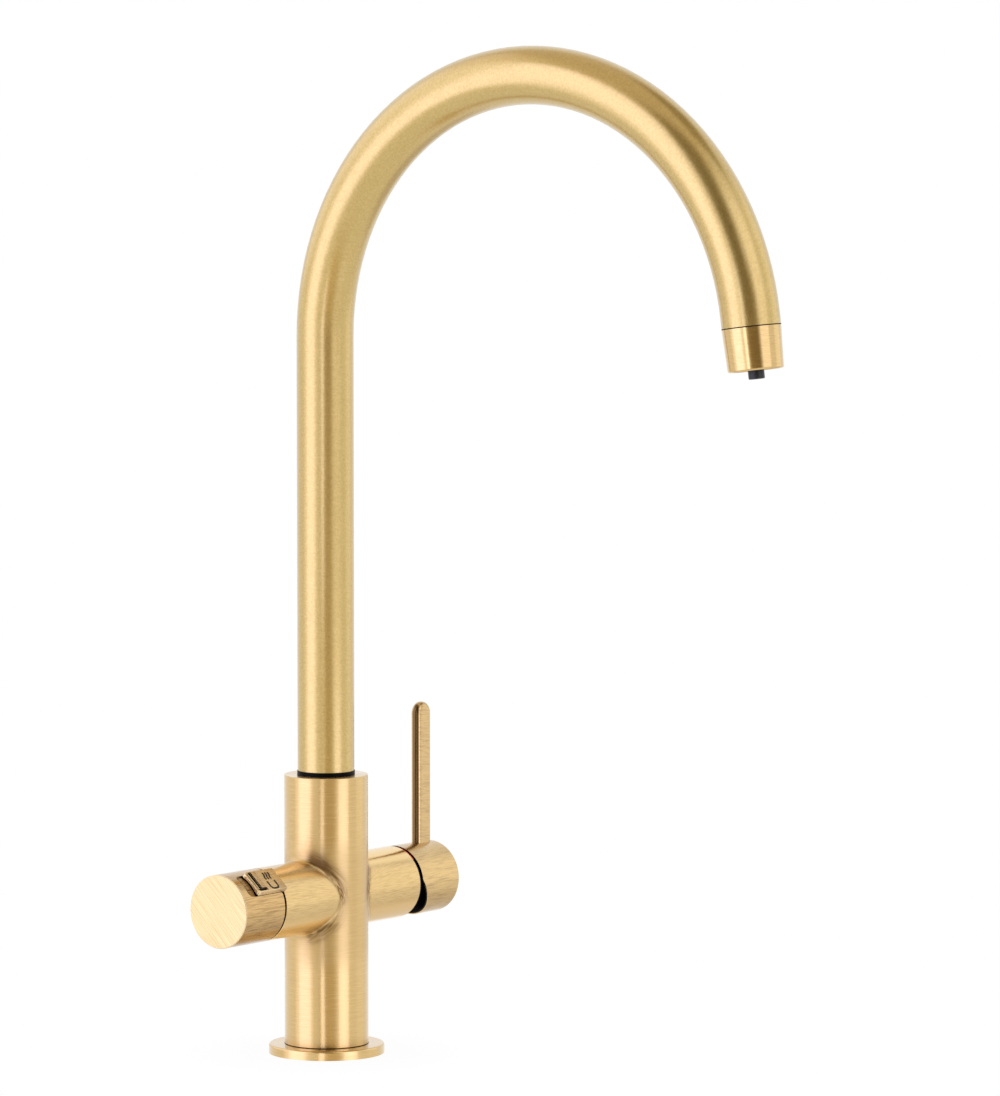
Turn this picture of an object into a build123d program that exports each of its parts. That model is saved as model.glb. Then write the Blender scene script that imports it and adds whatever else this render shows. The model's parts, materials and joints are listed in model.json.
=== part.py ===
from build123d import *
from math import cos, radians, sin, tan
import os

os.makedirs("parts", exist_ok=True)

# Three-in-one kitchen tap, in millimetres. The origin is on the column axis at the worktop, +Z is up,
# the spout reaches towards -Y, the boiling water knob is on -X and the mixer handle on +X.

# Fits
running_clearance = 0.05
seat_clearance = 0.05
face_clearance = 0.05

# Fixing through the worktop
worktop_thickness = 40.0
flange_radius = 24.5
flange_thickness = 4.0
flange_edge_round = 0.8
base_seal_inset = 3.0
base_seal_width = 3.0
base_seal_depth = 1.5
shank_radius = 15.0
shank_wall = 2.5
shank_engagement = 18.0
shank_spare_length = 10.5
clamp_radius = 24.0
gasket_thickness = 2.5
washer_thickness = 2.0
back_nut_height = 10.0
back_nut_across_flats = 41.0
back_nut_chamfer = 1.0

# Body casting
column_radius = 17.75
column_top = 118.5
arm_radius = 15.4
arm_height = 67.7
arm_reach = 44.8
arm_blend = 2.5
body_edge = 0.2

# Water ways in the casting
hose_port_radius = 4.5
hose_port_depth = 14.0
hose_port_offset = 7.3
hose_port_angle = 60.0
passage_radius = 2.75
passage_web = 0.85
mixer_inlet_drop = 3.7
mixer_outlet_rise = 6.3
boil_inlet_drop = 1.7
boil_outlet_rise = 6.5

# Spout
tube_radius = 12.0
tube_wall = 1.2
arch_start_height = 303.7
arch_radius = 110.0
arch_sweep = 172.35
tail_length = 3.85
slip_ring_height = 1.7
slip_ring_step = 0.2
spigot_step = 0.2
spigot_length = 32.0
spigot_wall = 3.0
spigot_tongue = 12.0
socket_floor_gap = 0.5
spout_seal_section = 0.8
spout_seal_spacing = 11.0
spout_seal_rise = 8.5
stop_screw_radius = 2.5
stop_screw_depth = 6.5
stop_point_radius = 2.0
stop_screw_drop = 6.5
stop_groove_depth = 1.5
stop_groove_height = 5.2
swivel_range = 90.0
stop_margin = 15.0
hot_tube_radius = 3.5
hot_tube_wall = 0.8
hot_seal_section = 0.42
hot_tube_foot = 10.0

# Outlet nozzle
nozzle_washer_thickness = 0.45
nozzle_length = 17.3
nozzle_end_radius = 11.3
nozzle_wall = 1.6
nozzle_lip_round = 0.8
adapter_thread_length = 7.0
adapter_wall = 1.8
aerator_depth = 6.5
aerator_inset = 1.8
aerator_hole_radius = 1.0
aerator_hole_circle = 6.4
aerator_hole_count = 12
centre_nozzle_radius = 3.3
centre_nozzle_proud = 3.4
centre_nozzle_bore = 1.8
centre_collar_step = 1.2
centre_collar_depth = 3.0
centre_barb_length = 8.0
centre_nozzle_round = 0.5

# Mixer cartridge, placed from the end of its arm inwards
arm_wall = 1.8
cartridge_step = 1.0
cover_inset = 0.2
cover_depth = 5.15
cover_flare = 1.6
mixer_nut_depth = 4.5
mixer_nut_overlap = 2.0
housing_wall = 2.0
housing_floor = 3.0
mixer_seal_thickness = 1.0
rotor_play = 0.15
rotor_depth = 5.8
slider_gap = 0.4
slider_depth = 4.0
slider_flat_inset = 1.05
moving_disc_depth = 3.0
moving_disc_margin = 2.5
mixing_pocket_depth = 1.5
fixed_disc_depth = 3.5
pivot_inset = 2.1
pivot_radius = 1.25
pivot_end_inset = 1.0
tip_reach = 5.9
tip_radius = 2.0
neck_radius = 1.2
stem_shoulder = 2.2
stem_width = 7.0
stem_height = 6.0
stem_slot_height = 9.2
tilt_range = 22.0

# Temperature ring and marks
temperature_ring_thickness = 0.7
temperature_ring_width = 2.5
temperature_ring_inset = 0.2
mark_width = 0.9
mark_start = 8.0
mark_span = 39.0

# Mixer handle and lever
handle_gap = 2.1
handle_step = 0.1
handle_length = 25.1
handle_wall = 1.0
handle_hollow_depth = 9.7
handle_end_round = 1.0
handle_relief_angle = 29.5
handle_relief_rise = 2.1
stem_engagement = 8.0
handle_screw_radius = 2.0
handle_screw_length = 8.0
lever_width = 9.7
lever_thickness = 4.8
lever_edge_round = 2.3
lever_inset = 7.6
lever_height = 76.0
lever_socket_depth = 8.5

# Boiling water valve, placed from the end of its arm inwards
boil_arm_wall = 3.4
lock_ring_inset = 0.2
lock_ring_depth = 6.4
lock_ring_hole_step = 2.0
valve_flange_depth = 4.0
valve_flange_step = 0.6
valve_radius = 9.0
valve_depth = 18.5
valve_nose_radius = 7.6
valve_nose_depth = 10.5
valve_nose_wall = 1.0
valve_window_width = 6.0
valve_window_length = 4.0
valve_seal_thickness = 1.5
valve_seal_hole = 3.0
valve_disc_depth = 3.0
valve_port_radius = 1.9
valve_port_offset = 3.2
spindle_radius = 4.0
spindle_foot_depth = 3.0
spindle_end_play = 0.2
spindle_seal_section = 0.5
spindle_seal_place = 8.0

# Boiling water knob and lock button
knob_seam = 1.0
knob_length = 25.0
knob_cavity_depth = 14.2
knob_face_chamfer = 0.35
knob_hub_wall = 2.0
knob_hub_inset = 1.5
spindle_socket_gap = 2.8
knob_screw_radius = 2.0
knob_screw_length = 8.0
knob_screw_place = 8.7
button_angle = 41.75
button_length = 18.4
button_width = 11.4
button_proud = 1.3
button_overhang = 0.6
button_overhang_gap = 0.15
button_corner_round = 2.0
button_edge_round = 0.3
button_side_gap = 0.15
button_floor_gap = 0.1
button_travel = 2.0
button_lip_drop = 1.1
button_lip_reach = 0.5
pocket_depth = 2.2
pocket_floor_thickness = 1.6
pocket_end_gap = 0.1
pocket_corner_round = 3.0
pocket_mouth_round = 1.0
scoop_depth = 0.6
scoop_round = 6.4
leg_inset = 1.7
leg_length = 3.0
leg_width = 4.6
leg_slot_gap = 0.6
tongue_inset = 0.95
tongue_thickness = 2.1
tongue_reach = 1.6
track_gap = 0.35
track_margin = 4.0
grip_lip = 0.8
grip_side_lip = 0.55
grip_recess_width = 2.9
grip_recess_depth = 0.9
grip_recess_round = 1.2
grip_web_width = 0.45
grip_web_drop = 0.5
grip_ridge_width = 3.0
grip_ridge_height = 0.2
grip_ridge_end_gap = 1.4
grip_rib_count = 4
grip_rib_depth = 0.15
spring_radius = 1.2
spring_wire_radius = 0.25
spring_turns = 6
spring_end_gap = 0.1

# Fixing stack
shank_top = flange_thickness + shank_engagement
gasket_top = -worktop_thickness
washer_top = gasket_top - gasket_thickness
back_nut_top = washer_top - washer_thickness
shank_bottom = back_nut_top - back_nut_height - shank_spare_length
clearance_hole = shank_radius + seat_clearance
base_seal_outer = flange_radius - base_seal_inset
base_seal_inner = base_seal_outer - base_seal_width

# Spout line and socket
tube_bore = tube_radius - tube_wall
tube_bottom = column_top + face_clearance + slip_ring_height
spigot_radius = tube_bore + spigot_step
spigot_bottom = column_top - spigot_length
spigot_bore = spigot_radius - spigot_wall
socket_radius = spigot_radius + running_clearance
socket_floor = spigot_bottom - socket_floor_gap
stop_height = column_top - stop_screw_drop
stop_groove_radius = spigot_radius - stop_groove_depth
arch_end = Vector(
    0,
    arch_radius * (cos(radians(arch_sweep)) - 1),
    arch_start_height + arch_radius * sin(radians(arch_sweep)),
)
tail_direction = Vector(0, -sin(radians(arch_sweep)), cos(radians(arch_sweep)))
tail_end = arch_end + tail_direction * tail_length
hot_bore_radius = hot_tube_radius + 2 * hot_seal_section + running_clearance
hot_bore_floor = arm_height + boil_outlet_rise - passage_radius
hot_tube_bottom = socket_floor - hot_tube_foot

# Outlet nozzle, as distances along the tail from the end of the tube
nozzle_start = nozzle_washer_thickness
nozzle_end = nozzle_start + nozzle_length
adapter_radius = tube_bore - seat_clearance
thread_radius = tube_radius - nozzle_wall
aerator_end = nozzle_end - aerator_inset
aerator_start = aerator_end - aerator_depth
aerator_radius = nozzle_end_radius - nozzle_wall
collar_start = aerator_start - centre_collar_depth
centre_nozzle_end = nozzle_end + centre_nozzle_proud

# Mixer stack, as distances from the column axis
cover_end = arm_reach - cover_inset
mixer_nut_end = cover_end - cover_depth
housing_end = mixer_nut_end - mixer_nut_depth
rotor_end = housing_end - rotor_play
rotor_start = rotor_end - rotor_depth
slider_end = rotor_start - slider_gap
slider_start = slider_end - slider_depth
moving_disc_start = slider_start - moving_disc_depth
fixed_disc_end = moving_disc_start - face_clearance
fixed_disc_start = fixed_disc_end - fixed_disc_depth
housing_start = fixed_disc_start - housing_floor
mixer_seat = housing_start - mixer_seal_thickness
mixer_nut_bore = arm_radius - arm_wall
mixer_bore = mixer_nut_bore - cartridge_step
cartridge_radius = mixer_bore - seat_clearance
chamber_radius = cartridge_radius - housing_wall
rotor_radius = chamber_radius - running_clearance
moving_disc_radius = chamber_radius - moving_disc_margin
mixer_nut_hole = chamber_radius - mixer_nut_overlap
slider_half_width = moving_disc_radius - slider_flat_inset
pivot_place = rotor_end - pivot_inset
tip_place = pivot_place - tip_reach
disc_travel = tip_reach * sin(radians(tilt_range))
hose_port_x = hose_port_offset * cos(radians(hose_port_angle))
hose_port_y = hose_port_offset * sin(radians(hose_port_angle))
mixer_outlet_x = hot_bore_radius + passage_web + passage_radius
mixer_ports = [
    (hose_port_y, -mixer_inlet_drop),
    (-hose_port_y, -mixer_inlet_drop),
    (0, mixer_outlet_rise),
]

# Mixer handle
handle_start = arm_reach + handle_gap
handle_end = handle_start + handle_length
handle_radius = arm_radius - handle_step
handle_floor = handle_start + handle_hollow_depth
stem_end = handle_floor + stem_engagement
handle_screw_place = handle_floor + stem_engagement / 2
lever_place = handle_end - lever_inset
lever_foot = handle_radius - lever_socket_depth

# Boiling water stack, as distances from the column axis
lock_ring_end = arm_reach - lock_ring_inset
lock_ring_start = lock_ring_end - lock_ring_depth
valve_flange_start = lock_ring_start - valve_flange_depth
valve_start = valve_flange_start - valve_depth
boil_seat = valve_start - valve_seal_thickness
turning_disc_start = valve_start + valve_disc_depth + face_clearance
spindle_start = turning_disc_start + valve_disc_depth
valve_chamber_end = spindle_start + spindle_foot_depth + spindle_end_play
valve_chamber_radius = valve_nose_radius - valve_nose_wall
valve_disc_radius = valve_chamber_radius - running_clearance
boil_bore = valve_radius + seat_clearance
lock_ring_bore = arm_radius - boil_arm_wall
lock_ring_radius = lock_ring_bore - seat_clearance

# Knob and button, as distances from the column axis and levels above the knob axis
knob_start = arm_reach + knob_seam
knob_end = knob_start + knob_length
knob_cavity_end = knob_start + knob_cavity_depth
pocket_floor = arm_radius - pocket_depth
knob_hollow = pocket_floor - pocket_floor_thickness
hub_start = knob_start + knob_hub_inset
hub_radius = spindle_radius + knob_hub_wall
spindle_end = knob_cavity_end - spindle_socket_gap
knob_screw_distance = knob_start + knob_screw_place
button_start = arm_reach - button_overhang
button_end = button_start + button_length
button_top = arm_radius + button_proud
button_bottom = pocket_floor + button_floor_gap
pocket_width = button_width + 2 * button_side_gap
pocket_end = button_end - button_lip_reach
keel_end = pocket_end - button_travel - pocket_end_gap
scoop_radius = arm_radius - scoop_depth
scoop_start = pocket_end + button_travel + pocket_end_gap
scoop_end = scoop_start + (scoop_depth * (2 * scoop_round - scoop_depth)) ** 0.5
leg_start = knob_start + leg_inset
leg_end = leg_start + leg_length
tongue_top = lock_ring_radius - tongue_inset
tongue_bottom = tongue_top - tongue_thickness
tongue_tip = lock_ring_end - tongue_reach
spring_level = (tongue_top + tongue_bottom) / 2
spring_start = leg_end + spring_end_gap + spring_wire_radius
spring_end = knob_cavity_end - spring_end_gap - spring_wire_radius
button_normal = Vector(0, -sin(radians(button_angle)), cos(radians(button_angle)))

# Planes
arm_axis = Axis((0, 0, arm_height), (1, 0, 0))
arm_side = Plane(origin=(0, 0, arm_height), x_dir=(1, 0, 0), z_dir=(0, -1, 0))
nozzle_axis = Axis(tail_end, tail_direction)
nozzle_section = Plane(
    origin=tail_end, x_dir=(1, 0, 0), z_dir=Vector(1, 0, 0).cross(tail_direction)
)


def across_mixer(distance):
    """Square to the mixer arm: local x is +Y, local y is +Z, outwards is +X."""
    return Plane(origin=(distance, 0, arm_height), x_dir=(0, 1, 0), z_dir=(1, 0, 0))


def across_boil(distance):
    """Square to the boiling water arm: local x is -Y, local y is +Z, outwards is -X."""
    return Plane(origin=(-distance, 0, arm_height), x_dir=(0, -1, 0), z_dir=(-1, 0, 0))


def over_button(level):
    """Along the button's top: local x is the distance from the column, local y is forwards and down."""
    centre = Vector(0, 0, arm_height) + button_normal * level
    return Plane(origin=centre, x_dir=(-1, 0, 0), z_dir=button_normal)


def across_nozzle(distance):
    """Square to the tail of the spout, at a distance beyond the end of the tube."""
    return Plane(origin=tail_end + tail_direction * distance, x_dir=(1, 0, 0), z_dir=tail_direction)


def spout_line(bottom, beyond):
    """Centre line of the spout, from a height in the column to a distance beyond the tube's end."""
    with BuildLine(Plane.YZ) as centre_line:
        Line((0, bottom), (0, arch_start_height))
        CenterArc((-arch_radius, arch_start_height), arch_radius, 0, arch_sweep)
        Line(arch_end, tail_end + tail_direction * beyond)
    return centre_line.line


def arc_band(inner_radius, outer_radius, start_angle, span):
    """Flat band between two arcs about the origin."""
    with BuildSketch() as band:
        with BuildLine():
            inside = CenterArc((0, 0), inner_radius, start_angle, span)
            outside = CenterArc((0, 0), outer_radius, start_angle, span)
            Line(inside @ 0, outside @ 0)
            Line(inside @ 1, outside @ 1)
        make_face()
    return band.sketch


# Base flange with a groove for its seal
with BuildPart() as base_flange:
    with BuildSketch():
        Circle(flange_radius)
        Circle(clearance_hole, mode=Mode.SUBTRACT)
    extrude(amount=flange_thickness)
    with BuildSketch():
        Circle(base_seal_outer)
        Circle(base_seal_inner, mode=Mode.SUBTRACT)
    extrude(amount=base_seal_depth, mode=Mode.SUBTRACT)
    rim = base_flange.edges().filter_by(GeomType.CIRCLE).group_by(Axis.Z)[-1].sort_by(SortBy.RADIUS)[-1]
    fillet(rim, flange_edge_round)
base_flange.part.label = "base_flange"
export_step(base_flange.part, "parts/base_flange.step")

# Base seal, flush with the underside of the flange
with BuildPart() as base_seal:
    with BuildSketch():
        Circle(base_seal_outer - seat_clearance)
        Circle(base_seal_inner + seat_clearance, mode=Mode.SUBTRACT)
    extrude(amount=base_seal_depth)
base_seal.part.label = "base_seal"
export_step(base_seal.part, "parts/base_seal.step")

# Hollow threaded shank, screwed into the foot of the casting
with BuildPart() as threaded_shank:
    with BuildSketch(Plane.XY.offset(shank_bottom)):
        Circle(shank_radius)
        Circle(shank_radius - shank_wall, mode=Mode.SUBTRACT)
    extrude(amount=shank_top - shank_bottom)
threaded_shank.part.label = "threaded_shank"
export_step(threaded_shank.part, "parts/threaded_shank.step")

# Rubber gasket under the worktop
with BuildPart() as deck_gasket:
    with BuildSketch(Plane.XY.offset(washer_top)):
        Circle(clamp_radius)
        Circle(clearance_hole, mode=Mode.SUBTRACT)
    extrude(amount=gasket_thickness)
deck_gasket.part.label = "deck_gasket"
export_step(deck_gasket.part, "parts/deck_gasket.step")

# Steel washer under the gasket
with BuildPart() as deck_washer:
    with BuildSketch(Plane.XY.offset(back_nut_top)):
        Circle(clamp_radius)
        Circle(clearance_hole, mode=Mode.SUBTRACT)
    extrude(amount=washer_thickness)
deck_washer.part.label = "deck_washer"
export_step(deck_washer.part, "parts/deck_washer.step")

# Hexagonal back nut, rounded off at its lower corners
with BuildPart() as back_nut:
    with BuildSketch(Plane.XY.offset(back_nut_top - back_nut_height)):
        RegularPolygon(back_nut_across_flats / 2, 6, major_radius=False)
        Circle(clearance_hole, mode=Mode.SUBTRACT)
    extrude(amount=back_nut_height)
    lower_edges = back_nut.edges().group_by(Axis.Z)[0].filter_by(GeomType.LINE)
    chamfer(lower_edges, back_nut_chamfer)
back_nut.part.label = "back_nut"
export_step(back_nut.part, "parts/back_nut.step")

# Body casting: a column crossed by two arms, bored for the shank, the spout, both valves and the water ways
with BuildPart() as body_casting:
    with BuildSketch(Plane.XY.offset(flange_thickness)):
        Circle(column_radius)
    extrude(amount=column_top - flange_thickness)
    with BuildSketch(across_mixer(-arm_reach)):
        Circle(arm_radius)
    extrude(amount=2 * arm_reach)
    straight_edges = body_casting.edges().filter_by(GeomType.LINE)
    round_edges = body_casting.edges().filter_by(GeomType.CIRCLE)
    creases = body_casting.edges() - straight_edges - round_edges
    fillet(creases, arm_blend)
    rims = body_casting.edges().filter_by(GeomType.CIRCLE)
    chamfer(rims.group_by(Axis.X)[0] + rims.group_by(Axis.X)[-1], body_edge)
    chamfer(rims.group_by(Axis.Z)[0] + rims.group_by(Axis.Z)[-1], body_edge)
    # Shank socket and hose ports in its roof
    with BuildSketch(Plane.XY.offset(flange_thickness)):
        Circle(clearance_hole)
    extrude(amount=shank_engagement, mode=Mode.SUBTRACT)
    mixer_hose_ports = [(hose_port_x, hose_port_y), (hose_port_x, -hose_port_y)]
    boil_hose_port = (-hose_port_offset, 0)
    with BuildSketch(Plane.XY.offset(shank_top)):
        with Locations(*mixer_hose_ports, boil_hose_port):
            Circle(hose_port_radius)
    extrude(amount=hose_port_depth, mode=Mode.SUBTRACT)
    port_roof = shank_top + hose_port_depth
    mixer_inlet_height = arm_height - mixer_inlet_drop
    with BuildSketch(Plane.XY.offset(port_roof)):
        with Locations(*mixer_hose_ports):
            Circle(passage_radius)
    extrude(amount=mixer_inlet_height - port_roof, mode=Mode.SUBTRACT)
    boil_inlet_height = arm_height - boil_inlet_drop
    with BuildSketch(Plane.XY.offset(port_roof)):
        with Locations(boil_hose_port):
            Circle(passage_radius)
    extrude(amount=boil_inlet_height - port_roof, mode=Mode.SUBTRACT)
    # Spout socket and the hot bore below it
    with BuildSketch(Plane.XY.offset(socket_floor)):
        Circle(socket_radius)
    extrude(amount=column_top - socket_floor, mode=Mode.SUBTRACT)
    with BuildSketch(Plane.XY.offset(hot_bore_floor)):
        Circle(hot_bore_radius)
    extrude(amount=socket_floor - hot_bore_floor, mode=Mode.SUBTRACT)
    # Mixer bore, its two inlets and its outlet up to the spout
    with BuildSketch(across_mixer(mixer_seat)):
        Circle(mixer_bore)
    extrude(amount=arm_reach - mixer_seat, mode=Mode.SUBTRACT)
    with BuildSketch(across_mixer(housing_end)):
        Circle(mixer_nut_bore)
    extrude(amount=arm_reach - housing_end, mode=Mode.SUBTRACT)
    with BuildSketch(across_mixer(hose_port_x)):
        with Locations(*mixer_ports[:2]):
            Circle(passage_radius)
    extrude(amount=mixer_seat - hose_port_x, mode=Mode.SUBTRACT)
    with BuildSketch(across_mixer(mixer_outlet_x)):
        with Locations(mixer_ports[2]):
            Circle(passage_radius)
    extrude(amount=mixer_seat - mixer_outlet_x, mode=Mode.SUBTRACT)
    mixer_outlet_height = arm_height + mixer_outlet_rise
    with BuildSketch(Plane.XY.offset(mixer_outlet_height)):
        with Locations((mixer_outlet_x, 0)):
            Circle(passage_radius)
    extrude(amount=socket_floor - mixer_outlet_height, mode=Mode.SUBTRACT)
    # Boiling water bore, its inlet and its outlet to the hot bore
    with BuildSketch(across_boil(boil_seat)):
        Circle(boil_bore)
    extrude(amount=arm_reach - boil_seat, mode=Mode.SUBTRACT)
    with BuildSketch(across_boil(valve_flange_start)):
        Circle(lock_ring_bore)
    extrude(amount=arm_reach - valve_flange_start, mode=Mode.SUBTRACT)
    with BuildSketch(across_boil(hose_port_offset)):
        with Locations((0, -boil_inlet_drop)):
            Circle(passage_radius)
    extrude(amount=boil_seat - hose_port_offset, mode=Mode.SUBTRACT)
    with BuildSketch(across_boil(0)):
        with Locations((0, boil_outlet_rise)):
            Circle(passage_radius)
    extrude(amount=boil_seat, mode=Mode.SUBTRACT)
    # Tapped hole for the stop screw at the back
    with BuildSketch(Plane.XZ.offset(-column_radius)):
        with Locations((0, stop_height)):
            Circle(stop_screw_radius + seat_clearance)
    extrude(amount=column_radius, mode=Mode.SUBTRACT)
body_casting.part.label = "body_casting"
export_step(body_casting.part, "parts/body_casting.step")

# Stop screw at the back, whose point runs in the spigot's groove
with BuildPart() as spout_stop_screw:
    screw_tip = stop_groove_radius + stop_groove_depth / 4
    screw_body_start = spigot_radius + stop_groove_depth / 4
    with BuildSketch(Plane.XZ.offset(-screw_tip)):
        with Locations((0, stop_height)):
            Circle(stop_point_radius)
    extrude(amount=screw_tip - screw_body_start)
    with BuildSketch(Plane.XZ.offset(-screw_body_start)):
        with Locations((0, stop_height)):
            Circle(stop_screw_radius)
            RegularPolygon(stop_screw_radius / 2, 6, mode=Mode.SUBTRACT)
    extrude(amount=screw_body_start - screw_tip - stop_screw_depth)
    with BuildSketch(Plane.XZ.offset(-screw_body_start)):
        with Locations((0, stop_height)):
            Circle(stop_screw_radius)
    extrude(amount=-stop_screw_depth / 2)
spout_stop_screw.part.label = "spout_stop_screw"
export_step(spout_stop_screw.part, "parts/spout_stop_screw.step")

# Spout tube: straight rise, arch and short tail
with BuildPart() as spout_tube:
    with BuildSketch(Plane.XY.offset(tube_bottom)):
        Circle(tube_radius)
        Circle(tube_bore, mode=Mode.SUBTRACT)
    sweep(path=spout_line(tube_bottom, 0))
spout_tube.part.label = "spout_tube"
export_step(spout_tube.part, "parts/spout_tube.step")

# Spigot: pushed into the tube above, turning in the socket below, with seal grooves and a stop groove
with BuildPart() as spout_spigot:
    with BuildSketch(Plane.XY.offset(spigot_bottom)):
        Circle(spigot_radius)
    extrude(amount=tube_bottom - spigot_bottom)
    with BuildSketch(Plane.XY.offset(tube_bottom)):
        Circle(tube_bore - seat_clearance)
    extrude(amount=spigot_tongue)
    with BuildSketch(Plane.XY.offset(spigot_bottom)):
        Circle(spigot_bore)
    extrude(amount=tube_bottom + spigot_tongue - spigot_bottom, mode=Mode.SUBTRACT)
    seal_heights = [spigot_bottom + spout_seal_rise + i * spout_seal_spacing for i in range(2)]
    seal_groove_radius = spigot_radius - 2 * spout_seal_section
    with BuildSketch(Plane.XZ):
        with Locations(*[(spigot_radius, height) for height in seal_heights]):
            Rectangle(4 * spout_seal_section, 2.2 * spout_seal_section)
    revolve(axis=Axis.Z, mode=Mode.SUBTRACT)
    groove_start = radians(90 - swivel_range - stop_margin)
    groove_plane = Plane(
        origin=(0, 0, 0),
        x_dir=(cos(groove_start), sin(groove_start), 0),
        z_dir=(sin(groove_start), -cos(groove_start), 0),
    )
    with BuildSketch(groove_plane):
        with Locations((spigot_radius, stop_height)):
            Rectangle(2 * stop_groove_depth, stop_groove_height)
    revolve(axis=Axis.Z, revolution_arc=2 * (swivel_range + stop_margin), mode=Mode.SUBTRACT)
spout_spigot.part.label = "spout_spigot"
export_step(spout_spigot.part, "parts/spout_spigot.step")

# Two spigot seals
with BuildPart() as spout_seals:
    with BuildSketch(Plane.XZ):
        with Locations(*[(spigot_radius - spout_seal_section, height) for height in seal_heights]):
            Circle(spout_seal_section)
    revolve(axis=Axis.Z)
spout_seals.part.label = "spout_seals"
export_step(spout_seals.part, "parts/spout_seals.step")

# Slip ring between the column and the tube
with BuildPart() as swivel_slip_ring:
    with BuildSketch(Plane.XY.offset(column_top + face_clearance)):
        Circle(tube_radius + slip_ring_step)
        Circle(spigot_radius + seat_clearance, mode=Mode.SUBTRACT)
    extrude(amount=slip_ring_height)
swivel_slip_ring.part.label = "swivel_slip_ring"
export_step(swivel_slip_ring.part, "parts/swivel_slip_ring.step")

# Inner tube that carries boiling water from the casting to the centre nozzle
with BuildPart() as hot_inner_tube:
    with BuildSketch(Plane.XY.offset(hot_tube_bottom)):
        Circle(hot_tube_radius)
        Circle(hot_tube_radius - hot_tube_wall, mode=Mode.SUBTRACT)
    sweep(path=spout_line(hot_tube_bottom, collar_start))
hot_inner_tube.part.label = "hot_inner_tube"
export_step(hot_inner_tube.part, "parts/hot_inner_tube.step")

# Seal round the foot of the inner tube
with BuildPart() as hot_tube_seal:
    with BuildSketch(Plane.XZ):
        with Locations((hot_tube_radius + hot_seal_section, hot_tube_bottom + hot_tube_foot / 2)):
            Circle(hot_seal_section)
    revolve(axis=Axis.Z)
hot_tube_seal.part.label = "hot_tube_seal"
export_step(hot_tube_seal.part, "parts/hot_tube_seal.step")

# Nozzle adapter: pushed into the tube, threaded for the nozzle housing
with BuildPart() as nozzle_adapter:
    with BuildSketch(across_nozzle(-tail_length)):
        Circle(adapter_radius)
    extrude(amount=tail_length)
    with BuildSketch(across_nozzle(0)):
        Circle(thread_radius - seat_clearance)
    extrude(amount=adapter_thread_length)
    with BuildSketch(across_nozzle(-tail_length)):
        Circle(thread_radius - adapter_wall)
    extrude(amount=tail_length + adapter_thread_length, mode=Mode.SUBTRACT)
nozzle_adapter.part.label = "nozzle_adapter"
export_step(nozzle_adapter.part, "parts/nozzle_adapter.step")

# Washer between the tube and the nozzle housing
with BuildPart() as nozzle_washer:
    with BuildSketch(across_nozzle(0)):
        Circle(tube_radius)
        Circle(thread_radius, mode=Mode.SUBTRACT)
    extrude(amount=nozzle_washer_thickness)
nozzle_washer.part.label = "nozzle_washer"
export_step(nozzle_washer.part, "parts/nozzle_washer.step")

# Nozzle housing: slightly tapered sleeve with a rounded lip
with BuildPart() as nozzle_housing:
    with BuildSketch(nozzle_section):
        with BuildLine():
            Polyline(
                (thread_radius, nozzle_start),
                (tube_radius, nozzle_start),
                (nozzle_end_radius, nozzle_end),
                (aerator_radius, nozzle_end),
                (aerator_radius, aerator_start),
                (thread_radius, aerator_start),
                close=True,
            )
        make_face()
    revolve(axis=nozzle_axis)
    lip = nozzle_housing.edges().filter_by(GeomType.CIRCLE).sort_by(nozzle_axis)[-2:]
    fillet(lip, nozzle_lip_round)
nozzle_housing.part.label = "nozzle_housing"
export_step(nozzle_housing.part, "parts/nozzle_housing.step")

# Aerator insert with a ring of holes for mixed water
with BuildPart() as aerator_insert:
    with BuildSketch(across_nozzle(aerator_start)):
        Circle(aerator_radius - seat_clearance)
        Circle(centre_nozzle_radius + seat_clearance, mode=Mode.SUBTRACT)
        with PolarLocations(aerator_hole_circle, aerator_hole_count):
            Circle(aerator_hole_radius, mode=Mode.SUBTRACT)
    extrude(amount=aerator_depth)
aerator_insert.part.label = "aerator_insert"
export_step(aerator_insert.part, "parts/aerator_insert.step")

# Centre nozzle for boiling water: barb, collar and outlet
with BuildPart() as centre_nozzle:
    with BuildSketch(across_nozzle(collar_start - centre_barb_length)):
        Circle(hot_tube_radius - hot_tube_wall - seat_clearance)
    extrude(amount=centre_barb_length)
    with BuildSketch(across_nozzle(collar_start)):
        Circle(centre_nozzle_radius + centre_collar_step)
    extrude(amount=centre_collar_depth)
    with BuildSketch(across_nozzle(aerator_start)):
        Circle(centre_nozzle_radius)
    extrude(amount=centre_nozzle_end - aerator_start)
    outlet_rim = centre_nozzle.edges().filter_by(GeomType.CIRCLE).sort_by(nozzle_axis)[-1]
    fillet(outlet_rim, centre_nozzle_round)
    with BuildSketch(across_nozzle(collar_start - centre_barb_length)):
        Circle(centre_nozzle_bore)
    extrude(amount=centre_nozzle_end - collar_start + centre_barb_length, mode=Mode.SUBTRACT)
centre_nozzle.part.label = "centre_nozzle"
export_step(centre_nozzle.part, "parts/centre_nozzle.step")

# Seal under the mixer cartridge
with BuildPart() as mixer_base_seal:
    with BuildSketch(across_mixer(mixer_seat)):
        Circle(chamber_radius)
        with Locations(*mixer_ports):
            Circle(passage_radius, mode=Mode.SUBTRACT)
    extrude(amount=mixer_seal_thickness)
mixer_base_seal.part.label = "mixer_base_seal"
export_step(mixer_base_seal.part, "parts/mixer_base_seal.step")

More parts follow.
